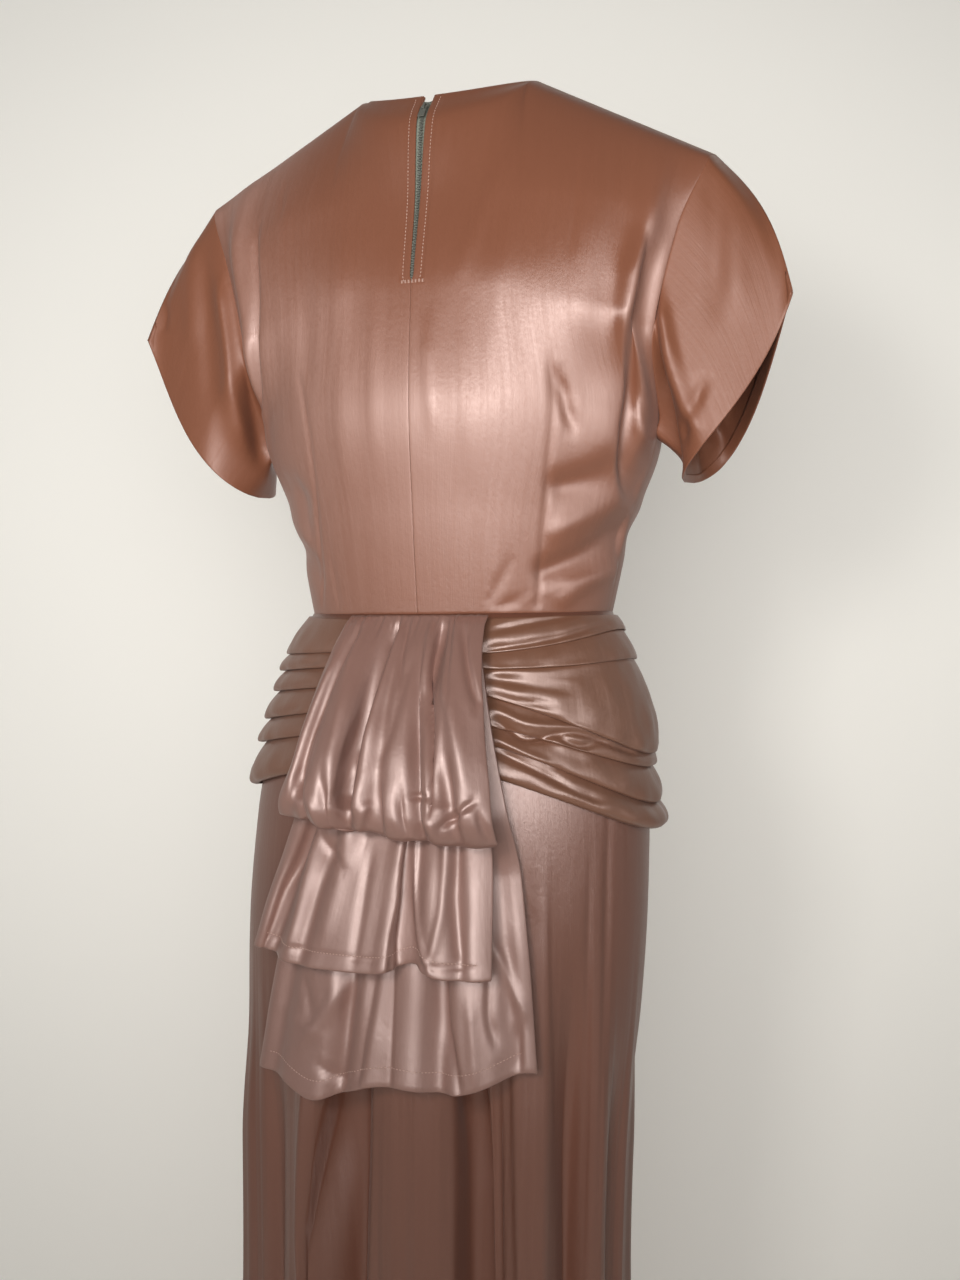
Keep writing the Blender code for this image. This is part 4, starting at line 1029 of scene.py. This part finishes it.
def nape_line(height):
    """Points of the centre back line at some heights, and the way out of it, square to the line."""
    up = np.linspace(UNDERARM_SHARE, 1, 80)
    line = bodice_half(BACK_LEVELS, NECK_BACK, np.zeros(1), up)[:, 0]
    way = np.gradient(line, axis=0)
    y, step_y, step_z = (np.interp(height, line[:, 2], values) for values in (line[:, 1], way[:, 1], way[:, 2]))
    length = np.hypot(step_y, step_z)
    points = np.stack([0 * height, y, height], axis=-1)
    return points, np.stack([0 * height, step_z, -step_y], axis=-1) / length[:, None]


def woven_tape():
    """Herringbone cotton, drawn as one set of slanting ribs over a grey-green ground."""
    finish = Finish("zip_tape_cotton", Metallic=0.0, IOR=1.45)
    ribs = {"Vector": finish.place("UV"), "Scale": 900.0, "Distortion": 1.0}
    rib = finish.node("ShaderNodeTexWave", {"bands_direction": "DIAGONAL"}, ribs)
    cloud = finish.noise(finish.place(), 160.0, 3.0)
    colour = finish.between(rib * 0.4 + cloud * 0.6, (0.13, 0.15, 0.12), (0.27, 0.29, 0.24))
    return finish.feed(Base_Color=colour, Roughness=cloud * 0.15 + 0.70, Normal=finish.bump(rib, 0.00012))


def zip_metal():
    """Old zip metal: a dull grey-green alloy, brighter where it is rubbed."""
    finish = Finish("zip_alloy", IOR=1.9)
    worn = finish.noise(finish.place(), 900.0, 3.0)
    colour = finish.between(worn, (0.20, 0.21, 0.18), (0.42, 0.43, 0.38))
    pits = finish.bump(worn, 0.00004)
    return finish.feed(Base_Color=colour, Metallic=worn * 0.3 + 0.55, Roughness=0.52 - worn * 0.16, Normal=pits)


tape_rows = np.linspace(*TAPE_ENDS, 90)
tape_across = np.linspace(-1, 1, 25)
spine, out = nape_line(tape_rows)
sink = TAPE_SINK + TAPE_WAVE * np.cos(tape_across * math.pi * 3)
points = spine[None] - out[None] * sink[:, None, None]
points = points + np.array([1.0, 0, 0]) * (tape_across * TAPE_HALF_WIDTH)[:, None, None]
piece = shell("zip_tape_band", points, (0, -1), TAPE_THICKNESS, woven_tape())
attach(piece, "dress")
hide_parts("zip_tape")


def repeated(name, corners, faces, centres, ways, finish):
    """One small shape set at many places: each corner is a sum along the place's three ways."""
    points = centres[:, None] + np.einsum("cw,pwx->pcx", np.array(corners), ways)
    every = np.array(faces)[None] + (np.arange(len(centres)) * len(corners))[:, None, None]
    return linked(name, points.reshape(-1, 3).tolist(), every.reshape(-1, np.shape(faces)[1]).tolist(), finish)


tooth_heights = np.arange(CHAIN_TOP, CHAIN_FOOT, -TOOTH_PITCH)
spine, out = nape_line(tooth_heights)
lean = np.where(np.arange(len(spine)) % 2, 1.0, -1.0) * TOOTH_HALF_WIDTH * TOOTH_LEAN
centres = spine - out * CHAIN_SINK + np.stack([lean, 0 * lean, 0 * lean], axis=-1)
side_way = np.tile([1.0, 0, 0], (len(spine), 1))
ways = np.stack([side_way, np.cross(out, side_way), out], axis=1)
tooth = [(i * TOOTH_HALF_WIDTH, j * TOOTH_HALF_LENGTH, 0) for i, j in ((-1, -1), (1, -1), (1, 1), (-1, 1))]
tooth += [(i * TOOTH_BEVEL, j * TOOTH_BEVEL, TOOTH_RISE) for i, j, _ in tooth]
tooth_faces = [(3, 2, 1, 0), (4, 5, 6, 7), (0, 1, 5, 4), (1, 2, 6, 5), (2, 3, 7, 6), (3, 0, 4, 7)]
alloy = zip_metal()
piece = repeated("zip_teeth", tooth, tooth_faces, centres, ways, alloy)
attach(piece, "dress")
for name in ("zip_slider", "zip_pull"):
    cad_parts[name].data.materials.clear()
    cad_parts[name].data.materials.append(alloy)


# The stitching: thread a little paler than the satin. A row runs down each side of the slit, a short bar
# of three rows holds its foot, and one row holds the hem of each of the two lower tiers.

STITCH_LENGTH, STITCH_GAP, STITCH_RADIUS, STITCH_STAND = 0.0021, 0.0006, 0.00042, 0.4
SLIT_ROW, BAR_HEIGHT, BAR_ENDS, BAR_PITCH, BAR_SEAM = 0.0058, SLIT_END - 0.001, (-0.010, 0.009), 0.0008, 0.0008
NEAR_SEAM = 12


def beside_seam(side, off, height):
    """A point of a back panel at a height, off the centre line by a distance: straight lines between the
    points of the first columns of its grid."""
    columns = back_surface[side][:NEAR_SEAM].swapaxes(0, 1)
    rows = np.array([[np.interp(off, side * line[:, 0], line[:, k]) for k in range(3)] for line in columns])
    return [np.interp(height, rows[:, 2], rows[:, k]) for k in range(3)]


def stitched(name, paths, away, finish):
    """Rows of stitches along some paths: one spindle of six points for every stitch and gap, its long way
    along the path."""
    centres, ways = [], []
    for path in paths:
        length = np.append(0, np.cumsum(np.linalg.norm(np.diff(path, axis=0), axis=-1)))
        marks = np.arange(STITCH_LENGTH / 2, length[-1], STITCH_LENGTH + STITCH_GAP)
        place = np.stack([np.interp(marks, length, path[:, k]) for k in range(3)], axis=-1)
        way = np.gradient(place, axis=0)
        way /= np.linalg.norm(way, axis=-1, keepdims=True)
        out = np.array(away) - (way @ np.array(away))[:, None] * way
        out /= np.linalg.norm(out, axis=-1, keepdims=True)
        centres.append(place + out * STITCH_RADIUS * STITCH_STAND)
        ways.append(np.stack([way, np.cross(out, way), out], axis=1))
    half, r = STITCH_LENGTH / 2, STITCH_RADIUS
    corners = [(-half, 0, 0), (0, r, 0), (0, 0, r), (0, -r, 0), (0, 0, -r), (half, 0, 0)]
    pairs = [(1, 2), (2, 3), (3, 4), (4, 1)]
    faces = [(0, after, before) for before, after in pairs] + [(5, before, after) for before, after in pairs]
    piece = repeated(name, corners, faces, np.concatenate(centres), np.concatenate(ways), finish)
    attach(piece, "dress")


thread = Finish("silk_thread", IOR=1.5, Sheen_Weight=0.2)
twist = thread.noise(thread.place(), 2600.0, 2.0)
thread_colour = thread.between(twist, (0.46, 0.29, 0.235), (0.60, 0.41, 0.345))
sewing_thread = thread.feed(Base_Color=thread_colour, Roughness=0.55 - twist * 0.15)
heights = np.linspace(BAR_HEIGHT, SLIT_TOP - 0.003, 80)
slit_rows = [
    np.array([beside_seam(side, gap + SLIT_ROW, height) for height, gap in zip(heights, slit_half_gap(heights))])
    for side in (1, -1)
]
bar = np.array([beside_seam(1 if x > 0 else -1, max(abs(x), BAR_SEAM), BAR_HEIGHT) for x in np.linspace(*BAR_ENDS, 24)])
bar_rows = [bar + np.array([0, 0, drop]) for drop in (BAR_PITCH, 0.0, -BAR_PITCH)]
stitched("slit_stitches", [*slit_rows, *bar_rows], (0, 1, 0), sewing_thread)
tier_rows = [tier_surface["middle"][6:-6, -6], tier_surface["low"][6:-6, -5]]
stitched("tier_stitches", tier_rows, (0, 1, 0), sewing_thread)


# The room: a pale wall and floor, a broad soft light and a small one beside the camera, a far one on the
# gown's other side, and weak light from all round. The camera looks at the back from a little to the right.

VIEW_TURN, VIEW_DISTANCE, AIM_HEIGHT, AIM_RIGHT = math.radians(21), 1.25, -0.427, 0.0147
LENS, SENSOR_WIDTH = 45.34, 36.0
FLOOR_HEIGHT, FLOOR_HALF, WALL_AWAY, WALL_HALF, WALL_TOP = -1.475, 4, 0.62, 3, 2.0
look = np.array([math.sin(VIEW_TURN), -math.cos(VIEW_TURN), 0.0])
rightward = np.array([-math.cos(VIEW_TURN), -math.sin(VIEW_TURN), 0.0])
aim = np.array([0.0, 0.0, AIM_HEIGHT]) + rightward * AIM_RIGHT
camera = bpy.data.objects.new("camera", bpy.data.cameras.new("camera"))
camera.data.lens, camera.data.sensor_width = LENS, SENSOR_WIDTH
camera.location = aim - look * VIEW_DISTANCE
camera.rotation_euler = (math.pi / 2, 0, math.atan2(-look[0], look[1]))
bpy.context.scene.collection.objects.link(camera)
bpy.context.scene.camera = camera


def plain(name, colour, roughness, glow):
    """Matt paint with a faint mottle. glow stands for the light of the rest of the room on it."""
    finish = Finish(name, Roughness=roughness, Emission_Color=(*colour, 1.0), Emission_Strength=glow)
    mottle = finish.noise(finish.place(), 3.0, 2.0)
    return finish.feed(Base_Color=finish.between(mottle, colour, tuple(c * 1.03 for c in colour)))


def flat_sheet(name, corners, finish):
    """A flat stage piece between four corners."""
    piece = linked(name, corners, [(0, 1, 2, 3)], finish)
    return piece


def seen_from_front(material):
    """Lets the eye through a sheet from behind, so that the wall never stands before the gown."""
    tree = material.node_tree
    shader = tree.nodes["Principled BSDF"].outputs[0]
    mix = tree.nodes.new("ShaderNodeMixShader")
    tree.links.new(tree.nodes.new("ShaderNodeNewGeometry").outputs["Backfacing"], mix.inputs[0])
    tree.links.new(shader, mix.inputs[1])
    tree.links.new(tree.nodes.new("ShaderNodeBsdfTransparent").outputs[0], mix.inputs[2])
    tree.links.new(mix.outputs[0], tree.nodes["Material Output"].inputs["Surface"])
    return material


def rectangle(centre, across, up, low, high, half):
    """Four corners round a centre: half a width to each side, and from low to high along the way up."""
    return [tuple(centre + across * a + up * b) for a, b in ((-half, low), (half, low), (half, high), (-half, high))]


upward = np.array([0, 0, 1])
wall_corners = rectangle(look * WALL_AWAY, rightward, upward, FLOOR_HEIGHT, WALL_TOP, WALL_HALF)
wall = flat_sheet("wall", wall_corners, seen_from_front(plain("wall_paint", (0.80, 0.79, 0.745), 0.9, 0.19)))
wall.visible_shadow = False
east, north = np.array([1, 0, 0]), np.array([0, 1, 0])
floor_corners = rectangle(upward * FLOOR_HEIGHT, east, north, -FLOOR_HALF, FLOOR_HALF, FLOOR_HALF)
flat_sheet("floor", floor_corners, plain("floor_paint", (0.78, 0.76, 0.72), 0.85, 0.16))


def soft_light(name, beyond, right, above, target_height, size, power, colour, spread):
    """An area light beyond, right of and above the point that the camera looks at, turned to the gown's middle
    line at a height."""
    place = aim + look * beyond + rightward * right + upward * above
    light = bpy.data.objects.new(name, bpy.data.lights.new(name, "AREA"))
    light.data.shape = "RECTANGLE"
    light.data.size, light.data.size_y = size
    light.data.energy, light.data.color = power, colour
    light.data.spread = math.radians(spread)
    way = upward * target_height - place
    way = way / np.linalg.norm(way)
    light.location = tuple(place)
    light.rotation_euler = (math.acos(-way[2]), 0, math.atan2(-way[0], way[1]))
    light.visible_camera = False
    bpy.context.scene.collection.objects.link(light)


soft_light("broad_light", -1.75, -0.12, 0.20, -0.20, (2.2, 1.15), 8.2, (1.0, 0.98, 0.96), 64.0)
soft_light("small_light", -1.45, -0.42, 0.30, -0.25, (0.24, 0.24), 3.0, (1.0, 0.97, 0.94), 110.0)
soft_light("far_light", 2.2, 0.3, 0.35, -0.55, (1.8, 1.4), 7.0, (1.0, 0.98, 0.96), 90.0)
world = bpy.context.scene.world or bpy.data.worlds.new("room")
bpy.context.scene.world = world
world.use_nodes = True
room = world.node_tree
weak, seen = room.nodes["Background"], room.nodes.new("ShaderNodeBackground")
for light, colour, strength in ((weak, (1.0, 0.96, 0.91, 1.0), 0.04), (seen, (0.80, 0.79, 0.76, 1.0), 1.0)):
    light.inputs["Color"].default_value, light.inputs["Strength"].default_value = colour, strength
mix = room.nodes.new("ShaderNodeMixShader")
room.links.new(room.nodes.new("ShaderNodeLightPath").outputs["Is Camera Ray"], mix.inputs[0])
room.links.new(weak.outputs[0], mix.inputs[1])
room.links.new(seen.outputs[0], mix.inputs[2])
room.links.new(mix.outputs[0], room.nodes["World Output"].inputs["Surface"])
bpy.context.scene.view_settings.view_transform = "Standard"
